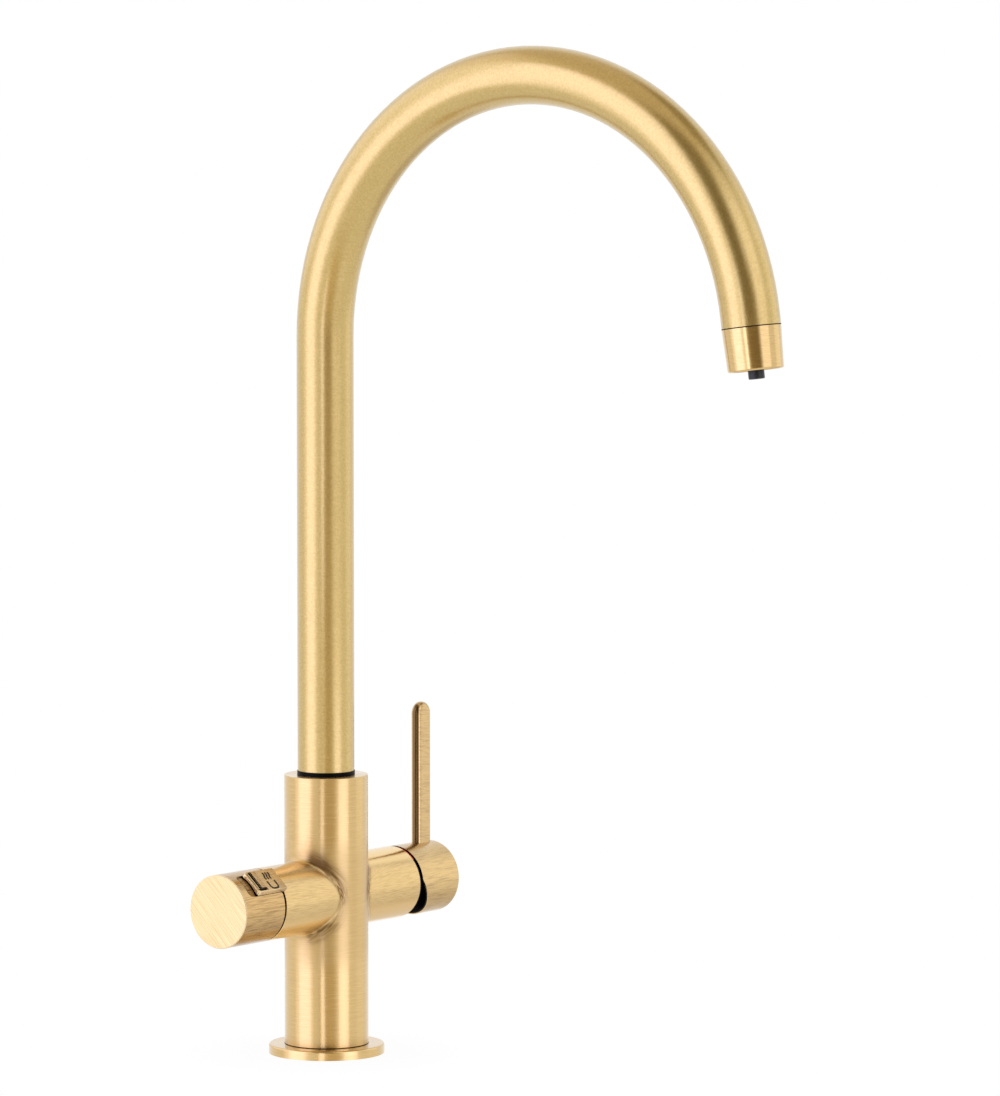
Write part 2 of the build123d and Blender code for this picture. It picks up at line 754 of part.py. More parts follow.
# Mixer cartridge housing: a cup with three ports in its floor
with BuildPart() as mixer_cartridge_housing:
    with BuildSketch(across_mixer(housing_start)):
        Circle(cartridge_radius)
        with Locations(*mixer_ports):
            Circle(passage_radius, mode=Mode.SUBTRACT)
    extrude(amount=housing_end - housing_start)
    with BuildSketch(across_mixer(fixed_disc_start)):
        Circle(chamber_radius)
    extrude(amount=housing_end - fixed_disc_start, mode=Mode.SUBTRACT)
mixer_cartridge_housing.part.label = "mixer_cartridge_housing"
export_step(mixer_cartridge_housing.part, "parts/mixer_cartridge_housing.step")

# Fixed ceramic disc with the same three ports
with BuildPart() as mixer_fixed_disc:
    with BuildSketch(across_mixer(fixed_disc_start)):
        Circle(chamber_radius - seat_clearance)
        with Locations(*mixer_ports):
            Circle(passage_radius, mode=Mode.SUBTRACT)
    extrude(amount=fixed_disc_depth)
mixer_fixed_disc.part.label = "mixer_fixed_disc"
export_step(mixer_fixed_disc.part, "parts/mixer_fixed_disc.step")

# Moving ceramic disc, with a mixing pocket in the face that slides on the fixed disc
with BuildPart() as mixer_moving_disc:
    with BuildSketch(across_mixer(moving_disc_start)):
        with Locations((0, -disc_travel / 2)):
            Circle(moving_disc_radius)
    extrude(amount=moving_disc_depth)
    with BuildSketch(across_mixer(moving_disc_start)):
        with Locations((0, -disc_travel / 2)):
            SlotOverall(moving_disc_radius, moving_disc_radius / 2, rotation=90)
    extrude(amount=mixing_pocket_depth, mode=Mode.SUBTRACT)
mixer_moving_disc.part.label = "mixer_moving_disc"
export_step(mixer_moving_disc.part, "parts/mixer_moving_disc.step")

# Slider that the tip of the stem pushes, with flats that run between the rotor's rails
with BuildPart() as mixer_slider:
    with BuildSketch(across_mixer(slider_start)):
        with Locations((0, -disc_travel / 2)):
            Circle(moving_disc_radius)
            Rectangle(2 * slider_half_width, 2 * moving_disc_radius, mode=Mode.INTERSECT)
        Circle(tip_radius + 2 * running_clearance, mode=Mode.SUBTRACT)
    extrude(amount=slider_depth)
mixer_slider.part.label = "mixer_slider"
export_step(mixer_slider.part, "parts/mixer_slider.step")

# Rotor that turns in the housing, slotted for the stem, with two rails for the slider
with BuildPart() as mixer_rotor:
    with BuildSketch(across_mixer(rotor_start)):
        Circle(rotor_radius)
        Rectangle(stem_width + 2 * running_clearance, stem_slot_height, mode=Mode.SUBTRACT)
    extrude(amount=rotor_depth)
    rail_start = slider_start + slider_gap
    with BuildSketch(across_mixer(rail_start)):
        Circle(rotor_radius)
        Rectangle(2 * (slider_half_width + running_clearance), 2 * rotor_radius, mode=Mode.SUBTRACT)
    extrude(amount=rotor_start - rail_start)
    with BuildSketch(Plane.XZ):
        with Locations((pivot_place, arm_height)):
            Circle(pivot_radius)
    extrude(amount=rotor_radius - pivot_end_inset, both=True, mode=Mode.SUBTRACT)
mixer_rotor.part.label = "mixer_rotor"
export_step(mixer_rotor.part, "parts/mixer_rotor.step")

# Pivot pin across the rotor, which the stem tilts on
with BuildPart() as mixer_pivot_pin:
    with BuildSketch(Plane.XZ):
        with Locations((pivot_place, arm_height)):
            Circle(pivot_radius - seat_clearance)
    extrude(amount=rotor_radius - pivot_end_inset, both=True)
mixer_pivot_pin.part.label = "mixer_pivot_pin"
export_step(mixer_pivot_pin.part, "parts/mixer_pivot_pin.step")

# Stem: a ball tip in the slider, a neck, and a flat-sided bar that the handle is fixed to
with BuildPart() as mixer_stem:
    with BuildSketch(across_mixer(pivot_place - stem_shoulder)):
        Rectangle(stem_width, stem_height)
    extrude(amount=stem_end - pivot_place + stem_shoulder)
    with BuildSketch(across_mixer(tip_place)):
        Circle(neck_radius)
    extrude(amount=tip_reach - stem_shoulder)
    with Locations((tip_place, 0, arm_height)):
        Sphere(tip_radius)
    with BuildSketch(Plane.XZ):
        with Locations((pivot_place, arm_height)):
            Circle(pivot_radius)
    extrude(amount=stem_width, both=True, mode=Mode.SUBTRACT)
mixer_stem.part.label = "mixer_stem"
export_step(mixer_stem.part, "parts/mixer_stem.step")

# Retaining nut that holds the cartridge down
with BuildPart() as mixer_retaining_nut:
    with BuildSketch(across_mixer(housing_end)):
        Circle(mixer_nut_bore - seat_clearance)
        Circle(mixer_nut_hole, mode=Mode.SUBTRACT)
    extrude(amount=mixer_nut_depth)
mixer_retaining_nut.part.label = "mixer_retaining_nut"
export_step(mixer_retaining_nut.part, "parts/mixer_retaining_nut.step")

# Cover ring over the nut, with a flared mouth for the tilting stem
with BuildPart() as mixer_cover_ring:
    with BuildSketch(arm_side):
        with BuildLine():
            Polyline(
                (mixer_nut_end, mixer_nut_hole),
                (mixer_nut_end, mixer_nut_bore - seat_clearance),
                (cover_end, mixer_nut_bore - seat_clearance),
                (cover_end, mixer_nut_hole + cover_flare),
                close=True,
            )
        make_face()
    revolve(axis=arm_axis)
mixer_cover_ring.part.label = "mixer_cover_ring"
export_step(mixer_cover_ring.part, "parts/mixer_cover_ring.step")

# Temperature ring on the end of the arm, notched for the hot and cold marks
ring_outer = arm_radius - temperature_ring_inset
ring_inner = ring_outer - temperature_ring_width
mark_inner = ring_outer - mark_width
hot_mark_angle = 90 + mark_start
cold_mark_angle = 90 - mark_start - mark_span
with BuildPart() as temperature_ring:
    with BuildSketch(across_mixer(arm_reach)):
        Circle(ring_outer)
        Circle(ring_inner, mode=Mode.SUBTRACT)
        for angle in (hot_mark_angle, cold_mark_angle):
            add(arc_band(mark_inner, arm_radius, angle, mark_span), mode=Mode.SUBTRACT)
    extrude(amount=temperature_ring_thickness)
temperature_ring.part.label = "temperature_ring"
export_step(temperature_ring.part, "parts/temperature_ring.step")

# Hot mark, towards the front
with BuildPart() as hot_mark:
    with BuildSketch(across_mixer(arm_reach)):
        add(arc_band(mark_inner, ring_outer, hot_mark_angle, mark_span))
    extrude(amount=temperature_ring_thickness)
hot_mark.part.label = "hot_mark"
export_step(hot_mark.part, "parts/hot_mark.step")

# Cold mark, towards the back
with BuildPart() as cold_mark:
    with BuildSketch(across_mixer(arm_reach)):
        add(arc_band(mark_inner, ring_outer, cold_mark_angle, mark_span))
    extrude(amount=temperature_ring_thickness)
cold_mark.part.label = "cold_mark"
export_step(cold_mark.part, "parts/cold_mark.step")

# Handle cap: hollow towards the arm, its lower half cut back at a slant so that it can tilt
with BuildPart() as handle_cap:
    with BuildSketch(across_mixer(handle_start)):
        Circle(handle_radius)
    extrude(amount=handle_length)
    outer_rim = handle_cap.edges().filter_by(GeomType.CIRCLE).sort_by(Axis.X)[-1]
    fillet(outer_rim, handle_end_round)
    relief_drop = 2 * handle_radius
    with BuildSketch(arm_side):
        with BuildLine():
            Polyline(
                (handle_start, handle_relief_rise),
                (handle_start, handle_relief_rise - relief_drop),
                (
                    handle_start + relief_drop * tan(radians(handle_relief_angle)),
                    handle_relief_rise - relief_drop,
                ),
                close=True,
            )
        make_face()
    extrude(amount=handle_radius, both=True, mode=Mode.SUBTRACT)
    with BuildSketch(across_mixer(handle_start)):
        Circle(handle_radius - handle_wall)
    extrude(amount=handle_hollow_depth, mode=Mode.SUBTRACT)
    with BuildSketch(across_mixer(handle_floor)):
        Rectangle(stem_width + 2 * seat_clearance, stem_height + 2 * seat_clearance)
    extrude(amount=stem_engagement, mode=Mode.SUBTRACT)
    with BuildSketch(Plane.XY.offset(arm_height + lever_foot)):
        with Locations((lever_place, 0)):
            RectangleRounded(
                lever_width + 2 * seat_clearance,
                lever_thickness + 2 * seat_clearance,
                lever_edge_round + seat_clearance,
            )
    extrude(amount=lever_socket_depth, mode=Mode.SUBTRACT)
    with BuildSketch(Plane.XY.offset(arm_height - handle_radius)):
        with Locations((handle_screw_place, 0)):
            Circle(handle_screw_radius + seat_clearance)
    extrude(amount=handle_radius - stem_height / 2, mode=Mode.SUBTRACT)
handle_cap.part.label = "handle_cap"
export_step(handle_cap.part, "parts/handle_cap.step")

# Lever bar: flat bar with rounded sides and a full round top
with BuildPart() as lever_bar:
    lever_round = lever_width / 2
    with BuildSketch(arm_side):
        with BuildLine():
            Polyline(
                (lever_place - lever_round, lever_height - lever_round),
                (lever_place - lever_round, lever_foot),
                (lever_place + lever_round, lever_foot),
                (lever_place + lever_round, lever_height - lever_round),
            )
            CenterArc((lever_place, lever_height - lever_round), lever_round, 0, 180)
        make_face()
    extrude(amount=lever_thickness / 2, both=True)
    broad_faces = lever_bar.faces().filter_by(Axis.Y)
    fillet(broad_faces.edges().group_by(Axis.Z)[1:], lever_edge_round)
lever_bar.part.label = "lever_bar"
export_step(lever_bar.part, "parts/lever_bar.step")

# Grub screw under the handle, pressed against the stem
with BuildPart() as handle_grub_screw:
    with BuildSketch(Plane.XY.offset(arm_height - stem_height / 2)):
        with Locations((handle_screw_place, 0)):
            Circle(handle_screw_radius)
    extrude(amount=-handle_screw_length)
    with BuildSketch(Plane.XY.offset(arm_height - stem_height / 2 - handle_screw_length)):
        with Locations((handle_screw_place, 0)):
            RegularPolygon(handle_screw_radius / 2, 6)
    extrude(amount=handle_screw_length / 3, mode=Mode.SUBTRACT)
handle_grub_screw.part.label = "handle_grub_screw"
export_step(handle_grub_screw.part, "parts/handle_grub_screw.step")

# Seat seal of the boiling water valve
with BuildPart() as boil_valve_seal:
    with BuildSketch(across_boil(boil_seat)):
        Circle(valve_nose_radius)
        Circle(valve_seal_hole, mode=Mode.SUBTRACT)
    extrude(amount=valve_seal_thickness)
boil_valve_seal.part.label = "boil_valve_seal"
export_step(boil_valve_seal.part, "parts/boil_valve_seal.step")

# Valve body: nose with two windows, threaded barrel and flange
with BuildPart() as boil_valve_body:
    with BuildSketch(across_boil(valve_start)):
        Circle(valve_nose_radius)
    extrude(amount=valve_nose_depth)
    with BuildSketch(across_boil(valve_start + valve_nose_depth)):
        Circle(valve_radius)
    extrude(amount=valve_depth - valve_nose_depth)
    with BuildSketch(across_boil(valve_flange_start)):
        Circle(lock_ring_bore - valve_flange_step)
    extrude(amount=valve_flange_depth)
    with BuildSketch(across_boil(valve_start)):
        Circle(valve_chamber_radius)
    extrude(amount=valve_chamber_end - valve_start, mode=Mode.SUBTRACT)
    with BuildSketch(across_boil(valve_chamber_end)):
        Circle(spindle_radius + running_clearance)
    extrude(amount=lock_ring_start - valve_chamber_end, mode=Mode.SUBTRACT)
    with BuildSketch(Plane.XY.offset(arm_height)):
        with Locations((-spindle_start, 0)):
            Rectangle(valve_window_length, valve_window_width)
    extrude(amount=valve_nose_radius, both=True, mode=Mode.SUBTRACT)
boil_valve_body.part.label = "boil_valve_body"
export_step(boil_valve_body.part, "parts/boil_valve_body.step")

# Fixed ceramic disc of the boiling water valve
with BuildPart() as boil_fixed_disc:
    with BuildSketch(across_boil(valve_start)):
        Circle(valve_disc_radius)
        with Locations((0, valve_port_offset), (0, -valve_port_offset)):
            Circle(valve_port_radius, mode=Mode.SUBTRACT)
    extrude(amount=valve_disc_depth)
boil_fixed_disc.part.label = "boil_fixed_disc"
export_step(boil_fixed_disc.part, "parts/boil_fixed_disc.step")

# Turning ceramic disc, its ports a quarter turn away from those of the fixed disc
with BuildPart() as boil_turning_disc:
    with BuildSketch(across_boil(turning_disc_start)):
        Circle(valve_disc_radius)
        with Locations((valve_port_offset, 0), (-valve_port_offset, 0)):
            Circle(valve_port_radius, mode=Mode.SUBTRACT)
    extrude(amount=valve_disc_depth)
boil_turning_disc.part.label = "boil_turning_disc"
export_step(boil_turning_disc.part, "parts/boil_turning_disc.step")

# Spindle from the turning disc out to the knob, with a seal groove
with BuildPart() as boil_spindle:
    with BuildSketch(across_boil(spindle_start)):
        Circle(valve_disc_radius)
        Rectangle(2 * valve_disc_radius, 2 * valve_port_radius, mode=Mode.INTERSECT)
    extrude(amount=spindle_foot_depth)
    with BuildSketch(across_boil(spindle_start)):
        Circle(spindle_radius)
    extrude(amount=spindle_end - spindle_start)
    spindle_seal_distance = valve_chamber_end + spindle_seal_place
    with BuildSketch(arm_side):
        with Locations((-spindle_seal_distance, spindle_radius)):
            Rectangle(2.2 * spindle_seal_section, 4 * spindle_seal_section)
    revolve(axis=arm_axis, mode=Mode.SUBTRACT)
boil_spindle.part.label = "boil_spindle"
export_step(boil_spindle.part, "parts/boil_spindle.step")

# Seal in the spindle's groove
with BuildPart() as spindle_seal:
    with BuildSketch(arm_side):
        with Locations((-spindle_seal_distance, spindle_radius - spindle_seal_section)):
            Circle(spindle_seal_section)
    revolve(axis=arm_axis)
spindle_seal.part.label = "spindle_seal"
export_step(spindle_seal.part, "parts/spindle_seal.step")

# Lock ring in the end of the arm, with the track that the button's tongue runs in
with BuildPart() as lock_ring:
    with BuildSketch(across_boil(lock_ring_start)):
        Circle(lock_ring_radius)
        Circle(spindle_radius + lock_ring_hole_step, mode=Mode.SUBTRACT)
    extrude(amount=lock_ring_depth)
    track_inner = tongue_bottom - track_gap
    track_outer = (tongue_top**2 + (leg_width / 2) ** 2) ** 0.5 + track_gap
    tongue_half_angle = Vector(tongue_bottom, leg_width / 2).get_angle(Vector(1, 0))
    track_start = 90 - button_angle - tongue_half_angle - track_margin
    track_span = 90 + 2 * (tongue_half_angle + track_margin)
    with BuildSketch(across_boil(tongue_tip - track_gap)):
        add(arc_band(track_inner, track_outer, track_start, track_span))
    extrude(amount=lock_ring_end - tongue_tip + track_gap, mode=Mode.SUBTRACT)
lock_ring.part.label = "lock_ring"
export_step(lock_ring.part, "parts/lock_ring.step")

# Space of the button's pocket: deep under the button, with a shallow scoop beyond it
with BuildPart() as button_pocket:
    with BuildSketch(arm_side):
        with BuildLine():
            scoop = CenterArc((-scoop_start, scoop_radius + scoop_round), scoop_round, 180, 90)
            Polyline(scoop @ 1, (0, scoop_radius), (0, 2 * arm_radius), scoop @ 0)
        make_face()
    revolve(axis=arm_axis)
    with BuildSketch(over_button(pocket_floor)) as scoop_plan:
        with Locations((scoop_end / 2, 0)):
            Rectangle(scoop_end + 2 * pocket_end_gap, pocket_width)
        fillet(scoop_plan.vertices().group_by(Axis.X)[-1], pocket_corner_round)
    extrude(amount=arm_radius, mode=Mode.INTERSECT)
    with BuildSketch(over_button(pocket_floor)):
        with Locations((pocket_end / 2, 0)):
            Rectangle(pocket_end, pocket_width)
    extrude(amount=arm_radius)

# Knob shell: hollow, with a hub for the spindle, a pocket for the button and a slot in its floor
with BuildPart() as boil_knob_shell:
    with BuildSketch(across_boil(knob_start)):
        Circle(arm_radius)
    extrude(amount=knob_length)
    face_rim = boil_knob_shell.edges().filter_by(GeomType.CIRCLE).sort_by(Axis.X)[0]
    chamfer(face_rim, knob_face_chamfer)
    with BuildSketch(across_boil(knob_start)):
        Circle(knob_hollow)
    extrude(amount=knob_cavity_depth, mode=Mode.SUBTRACT)
    with BuildSketch(across_boil(hub_start)):
        Circle(hub_radius)
    extrude(amount=knob_cavity_end - hub_start)
    with BuildSketch(across_boil(hub_start)):
        Circle(spindle_radius + seat_clearance)
    extrude(amount=spindle_end - hub_start, mode=Mode.SUBTRACT)
    add(button_pocket.part, mode=Mode.SUBTRACT)
    mouth_corners = boil_knob_shell.edges().filter_by(Axis((0, 0, 0), button_normal)).group_by(Axis.X)[-1]
    fillet(mouth_corners, pocket_mouth_round)
    slot_start = leg_start - leg_slot_gap
    slot_length = leg_length + button_travel + 2 * leg_slot_gap
    with BuildSketch(over_button(tongue_bottom)):
        with Locations((slot_start + slot_length / 2, 0)):
            Rectangle(slot_length, leg_width + 2 * button_side_gap)
    extrude(amount=arm_radius - tongue_bottom, mode=Mode.SUBTRACT)
    with BuildSketch(Plane.XY.offset(arm_height - arm_radius)):
        with Locations((-knob_screw_distance, 0)):
            Circle(knob_screw_radius + seat_clearance)
    extrude(amount=arm_radius - spindle_radius, mode=Mode.SUBTRACT)
boil_knob_shell.part.label = "boil_knob_shell"
export_step(boil_knob_shell.part, "parts/boil_knob_shell.step")

# Grub screw under the knob, pressed against the spindle
with BuildPart() as knob_grub_screw:
    screw_top = arm_height - spindle_radius - seat_clearance
    with BuildSketch(Plane.XY.offset(screw_top)):
        with Locations((-knob_screw_distance, 0)):
            Circle(knob_screw_radius)
    extrude(amount=-knob_screw_length)
    with BuildSketch(Plane.XY.offset(screw_top - knob_screw_length)):
        with Locations((-knob_screw_distance, 0)):
            RegularPolygon(knob_screw_radius / 2, 6)
    extrude(amount=knob_screw_length / 3, mode=Mode.SUBTRACT)
knob_grub_screw.part.label = "knob_grub_screw"
export_step(knob_grub_screw.part, "parts/knob_grub_screw.step")

# Lock button: a tile that slides along the knob, with a thumb grip, a leg through the floor and a tongue
with BuildPart() as lock_button:
    with BuildSketch(over_button(button_bottom)) as tile:
        with Locations(((button_start + button_end) / 2, 0)):
            Rectangle(button_length, button_width)
        fillet(tile.vertices().group_by(Axis.X)[-1], button_corner_round)
    extrude(amount=button_top - button_bottom)
    tile_top = lock_button.faces().sort_by(Axis((0, 0, arm_height), button_normal))[-1]
    fillet(tile_top.edges(), button_edge_round)
    # Relief that lets the inner end sweep over the arm
    with BuildSketch(across_boil(knob_start)):
        Circle(arm_radius + button_overhang_gap)
    extrude(amount=-knob_seam - button_overhang - button_overhang_gap, mode=Mode.SUBTRACT)
    # Underside cut back to slide over the scoop, with an overhanging lip at the outer end
    with BuildSketch(across_boil(keel_end)):
        Circle(scoop_radius + button_floor_gap)
    extrude(amount=button_length, mode=Mode.SUBTRACT)
    with BuildSketch(across_boil(pocket_end)):
        Circle(button_top - button_lip_drop)
    extrude(amount=button_length, mode=Mode.SUBTRACT)
    # Thumb grip: a recess that turns round the front end of a ribbed ridge, with a low web along it
    recess_start = button_end - grip_lip - grip_recess_width
    ridge_start = recess_start - grip_ridge_width
    recess_edge = button_width / 2 - grip_side_lip
    ridge_edge = recess_edge - grip_ridge_end_gap
    with BuildSketch(over_button(button_top - grip_recess_depth)) as recess:
        with Locations((recess_start + grip_recess_width / 2, 0)):
            Rectangle(grip_recess_width, 2 * recess_edge)
        fillet(recess.vertices().group_by(Axis.X)[-1], grip_recess_round)
        with Locations((recess_start, ridge_edge)):
            Rectangle(grip_ridge_width, grip_ridge_end_gap, align=(Align.MAX, Align.MIN))
    extrude(amount=grip_recess_depth, mode=Mode.SUBTRACT)
    with BuildSketch(over_button(button_top - grip_recess_depth)):
        with Locations((recess_start + grip_recess_width / 2, -grip_ridge_end_gap / 2)):
            Rectangle(grip_web_width, 2 * recess_edge - grip_ridge_end_gap)
    extrude(amount=grip_recess_depth - grip_web_drop)
    ridge_length = recess_edge + ridge_edge
    ridge_centre = (ridge_start + grip_ridge_width / 2, ridge_edge - ridge_length / 2)
    with BuildSketch(over_button(button_top)):
        with Locations(ridge_centre):
            Rectangle(grip_ridge_width, ridge_length)
    extrude(amount=grip_ridge_height)
    rib_pitch = grip_ridge_width / grip_rib_count
    with BuildSketch(over_button(button_top + grip_ridge_height - grip_rib_depth)):
        with Locations(ridge_centre):
            with GridLocations(rib_pitch, 0, grip_rib_count - 1, 1):
                Rectangle(rib_pitch / 3, ridge_length)
    extrude(amount=grip_rib_depth, mode=Mode.SUBTRACT)
    # Leg and tongue
    with BuildSketch(over_button(tongue_bottom)):
        with Locations(((leg_start + leg_end) / 2, 0)):
            Rectangle(leg_length, leg_width)
    extrude(amount=button_bottom - tongue_bottom)
    with BuildSketch(over_button(tongue_bottom)):
        with Locations(((tongue_tip + leg_start) / 2, 0)):
            Rectangle(leg_start - tongue_tip, leg_width)
    extrude(amount=tongue_thickness)
lock_button.part.label = "lock_button"
export_step(lock_button.part, "parts/lock_button.step")

# Lock spring between the button's leg and the end of the knob's hollow
with BuildPart() as lock_spring:
    with BuildLine() as coil_line:
        coil = Helix(
            pitch=(spring_end - spring_start) / spring_turns,
            height=spring_end - spring_start,
            radius=spring_radius,
            center=Vector(-spring_start, 0, arm_height) + button_normal * spring_level,
            direction=(-1, 0, 0),
        )
    with BuildSketch(Plane(origin=coil @ 0, z_dir=coil % 0)):
        Circle(spring_wire_radius)
    sweep(path=coil_line.line, is_frenet=True)
lock_spring.part.label = "lock_spring"
export_step(lock_spring.part, "parts/lock_spring.step")
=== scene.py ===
import json
import math

import bpy
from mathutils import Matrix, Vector


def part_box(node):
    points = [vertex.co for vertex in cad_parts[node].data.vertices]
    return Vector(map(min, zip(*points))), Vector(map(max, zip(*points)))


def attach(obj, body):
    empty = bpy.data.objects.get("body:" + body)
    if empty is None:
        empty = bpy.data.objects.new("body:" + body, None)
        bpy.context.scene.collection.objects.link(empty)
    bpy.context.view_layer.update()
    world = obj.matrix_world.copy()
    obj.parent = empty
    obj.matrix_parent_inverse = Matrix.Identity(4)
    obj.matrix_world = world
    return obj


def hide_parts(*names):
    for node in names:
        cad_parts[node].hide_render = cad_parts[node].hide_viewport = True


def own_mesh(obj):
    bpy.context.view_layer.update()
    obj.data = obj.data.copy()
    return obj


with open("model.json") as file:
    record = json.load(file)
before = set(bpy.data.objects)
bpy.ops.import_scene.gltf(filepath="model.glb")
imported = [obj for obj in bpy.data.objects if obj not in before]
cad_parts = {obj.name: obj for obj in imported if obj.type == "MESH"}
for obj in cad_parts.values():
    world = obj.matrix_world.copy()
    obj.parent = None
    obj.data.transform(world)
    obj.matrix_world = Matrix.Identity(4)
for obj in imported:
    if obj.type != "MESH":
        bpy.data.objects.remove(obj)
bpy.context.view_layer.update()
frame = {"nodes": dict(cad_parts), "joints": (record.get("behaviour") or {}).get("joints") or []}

MM = 0.001
MICRON = 0.000001

# Sizes read from the frame, in millimetres
joints = {joint["name"]: joint for joint in frame["joints"]}
ARM_HEIGHT = joints["boil_turn"]["pos_m"][2] / MM
COLUMN_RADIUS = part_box("body_casting")[1].y / MM
ARM_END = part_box("body_casting")[1].x / MM
ARM_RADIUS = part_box("boil_knob_shell")[1].y / MM
KNOB_START = -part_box("boil_knob_shell")[1].x / MM
KNOB_END = -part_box("boil_knob_shell")[0].x / MM
HANDLE_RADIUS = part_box("handle_cap")[1].y / MM
HANDLE_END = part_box("handle_cap")[1].x / MM
LEVER_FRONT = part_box("lever_bar")[0].y / MM
LEVER_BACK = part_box("lever_bar")[1].y / MM
BUTTON_END = -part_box("lock_button")[0].x / MM
FLANGE_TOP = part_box("base_flange")[1].z / MM
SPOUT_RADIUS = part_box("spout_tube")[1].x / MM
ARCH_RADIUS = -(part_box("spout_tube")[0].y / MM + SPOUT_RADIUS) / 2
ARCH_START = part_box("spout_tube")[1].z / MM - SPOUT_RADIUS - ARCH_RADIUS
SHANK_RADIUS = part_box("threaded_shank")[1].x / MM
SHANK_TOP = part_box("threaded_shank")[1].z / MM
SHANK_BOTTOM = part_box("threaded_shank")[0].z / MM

# Button, in millimetres: its grip, the lip at its outer end and the scoop beyond it
BUTTON_HALF_WIDTH = 5.7
GRIP_LIP = 0.8
GRIP_LENGTH = 5.9
GRIP_SIDE = 0.4
LIP_DROP = 1.1
SCOOP_LENGTH = 4.5

# Mark on the button, in millimetres along the knob and forwards from the button's middle line
MARK_PLACE = (50.9, 0.5)
MARK_LINE = 0.9
MARK_PROUD = 0.05
WAVE_SPACING = 1.6
WAVE_LENGTH = 3.6
WAVE_SWING = 0.35
WAVE_STEPS = 16
CUP_WIDTH = 4.6
CUP_HEIGHT = 4.2
CUP_ROUND = 1.5
CUP_ROUND_STEPS = 8
MARK_GAP = 0.9

# Thread of the shank, in millimetres, with the slope of its flanks and the points round and along each turn
THREAD_PITCH = 1.5
THREAD_DEPTH = 0.85
THREAD_FLANK = 2.5
THREAD_COLUMNS = 48
THREAD_ROWS = 6
SHANK_BORE_RADIUS = 12.5

# Camera of the photograph: degrees, metres from the column's foot, and millimetres for lens and sensor
CAMERA_AZIMUTH = -50.7155
CAMERA_DISTANCE = 2.6812
CAMERA_HEIGHT = 0.4443
CAMERA_TURN = -1.5699
CAMERA_PITCH = 4.9053
CAMERA_LENS = 209.85
CAMERA_SENSOR = 36
CAMERA_SIGHT = 100

# Studio, in metres, with the shaded ring on the floor in millimetres
TAP_MIDDLE = Vector((0, -0.05, 0.15))
STUDIO_RADIUS = 3.0
GRID_SPREAD = math.radians(66)
FLOOR_SIZE = 12
FLOOR_DROP = 0.0001
FLOOR_COLOUR = (0.8, 0.8, 0.8, 1)
FLOOR_SHADE = 0.04
FLOOR_SHADE_FADE = (26, 70)
AMBIENT = 0.7
WHITE = (1, 1, 1, 1)

# Clear lacquer over the brass
LACQUER = 0.6
LACQUER_ROUGHNESS = 0.12

# Marks of the finishes, in millimetres: the length of strokes, the space between lines, the size of grains
COLUMN_LINE_SPACE = 0.34
ARM_STROKE_LENGTH = 6
ARM_STROKE_SPACE = 0.5
ARM_STROKE_DEPTH = 0.8
SANDING_SPACE = 0.42
COLUMN_SPECK = 0.6
FLANGE_EDGE_SPACE = 0.3
FLANGE_TOP_SPACE = 0.35
SPOUT_LINE_LENGTH = 4
SPOUT_LINE_SPACE = 0.4
SPOUT_GRAIN = 0.9
SPOUT_CLOUD = 14
NOZZLE_LINE_LENGTH = 4
NOZZLE_LINE_SPACE = 0.35
KNOB_STROKE_LENGTH = 7
KNOB_STROKE_SPACE = 0.42
FACE_LINE_LENGTH = 22
FACE_LINE_SPACE = 0.42
LEVER_LINE_LENGTH = 5
LEVER_LINE_SPACE = 0.45
LEVER_LINE_SLOPE = 4
BUTTON_STROKE_LENGTH = 4
BUTTON_STROKE_SPACE = 0.5
TURNED_LINE_LENGTH = 4
TURNED_LINE_SPACE = 0.4
TURNED_CLOUD = 5

# Relief of these marks, in microns
CASTING_RELIEF = 15
FLANGE_RELIEF = 10
SPOUT_RELIEF = 9
NOZZLE_RELIEF = 5
KNOB_RELIEF = 14
LEVER_RELIEF = 2
BUTTON_RELIEF = 10
PLAIN_RELIEF = 20

# Wear and painted shade in the creases between column and arms: the distances, in millimetres, between
# which each kind fades
CREASE_BLEND = 0.6
SANDING_FADE = (0.6, 7.0)
GROOVE_FADE = (0.5, 1.9)
SHADE_FADE = (0.5, 8)
SHADE_SPOT_FADE = (1, 11)
MOST_WEAR_AND_SHADE = 0.88

# Finishes, as linear colours
BODY_BRASS = (0.70, 0.49, 0.205, 1)
BODY_DARK = (0.62, 0.415, 0.16, 1)
SPOUT_BRASS = (0.66, 0.48, 0.185, 1)
SPOUT_DARK = (0.49, 0.34, 0.11, 1)
ARM_DARK = (0.55, 0.365, 0.14, 1)
KNOB_BRASS = (0.61, 0.39, 0.15, 1)
KNOB_DARK = (0.36, 0.215, 0.07, 1)
HANDLE_BRASS = (0.68, 0.47, 0.195, 1)
HANDLE_DARK = (0.45, 0.30, 0.125, 1)
LEVER_BRASS = (0.62, 0.42, 0.18, 1)
# Painted dark reflection along the front of the lever's rounded edges
LEVER_DARK_REFLECTION = (0.09, 0.05, 0.018, 1)
FACE_BRASS = (0.71, 0.525, 0.24, 1)
FACE_DARK = (0.56, 0.37, 0.14, 1)
TILE_BRASS = (0.82, 0.60, 0.30, 1)
TILE_DARK = (0.55, 0.38, 0.175, 1)
# Painted highlight colour of chamfers, rounded edges and the scoop's forward slope
EDGE_HIGHLIGHT_GOLD = (0.92, 0.70, 0.37, 1)
# Painted highlight colour of the pale bands along the arms
PAINTED_LIGHT_BRASS = (0.92, 0.655, 0.285, 1)
# Dark brown for patina and for painted shade in the creases, at the column's foot, in the knob's scoop and
# at the button's inner corner
PATINA_AND_SHADE = (0.17, 0.085, 0.028, 1)
# Painted shade colour in the knob's scoop
SCOOP_SHADE_BROWN = (0.42, 0.235, 0.07, 1)
SHADED = (0.004, 0.003, 0.002, 1)
PLAIN_BRASS = (0.72, 0.53, 0.22, 1)
PLAIN_DARK = (0.62, 0.44, 0.17, 1)


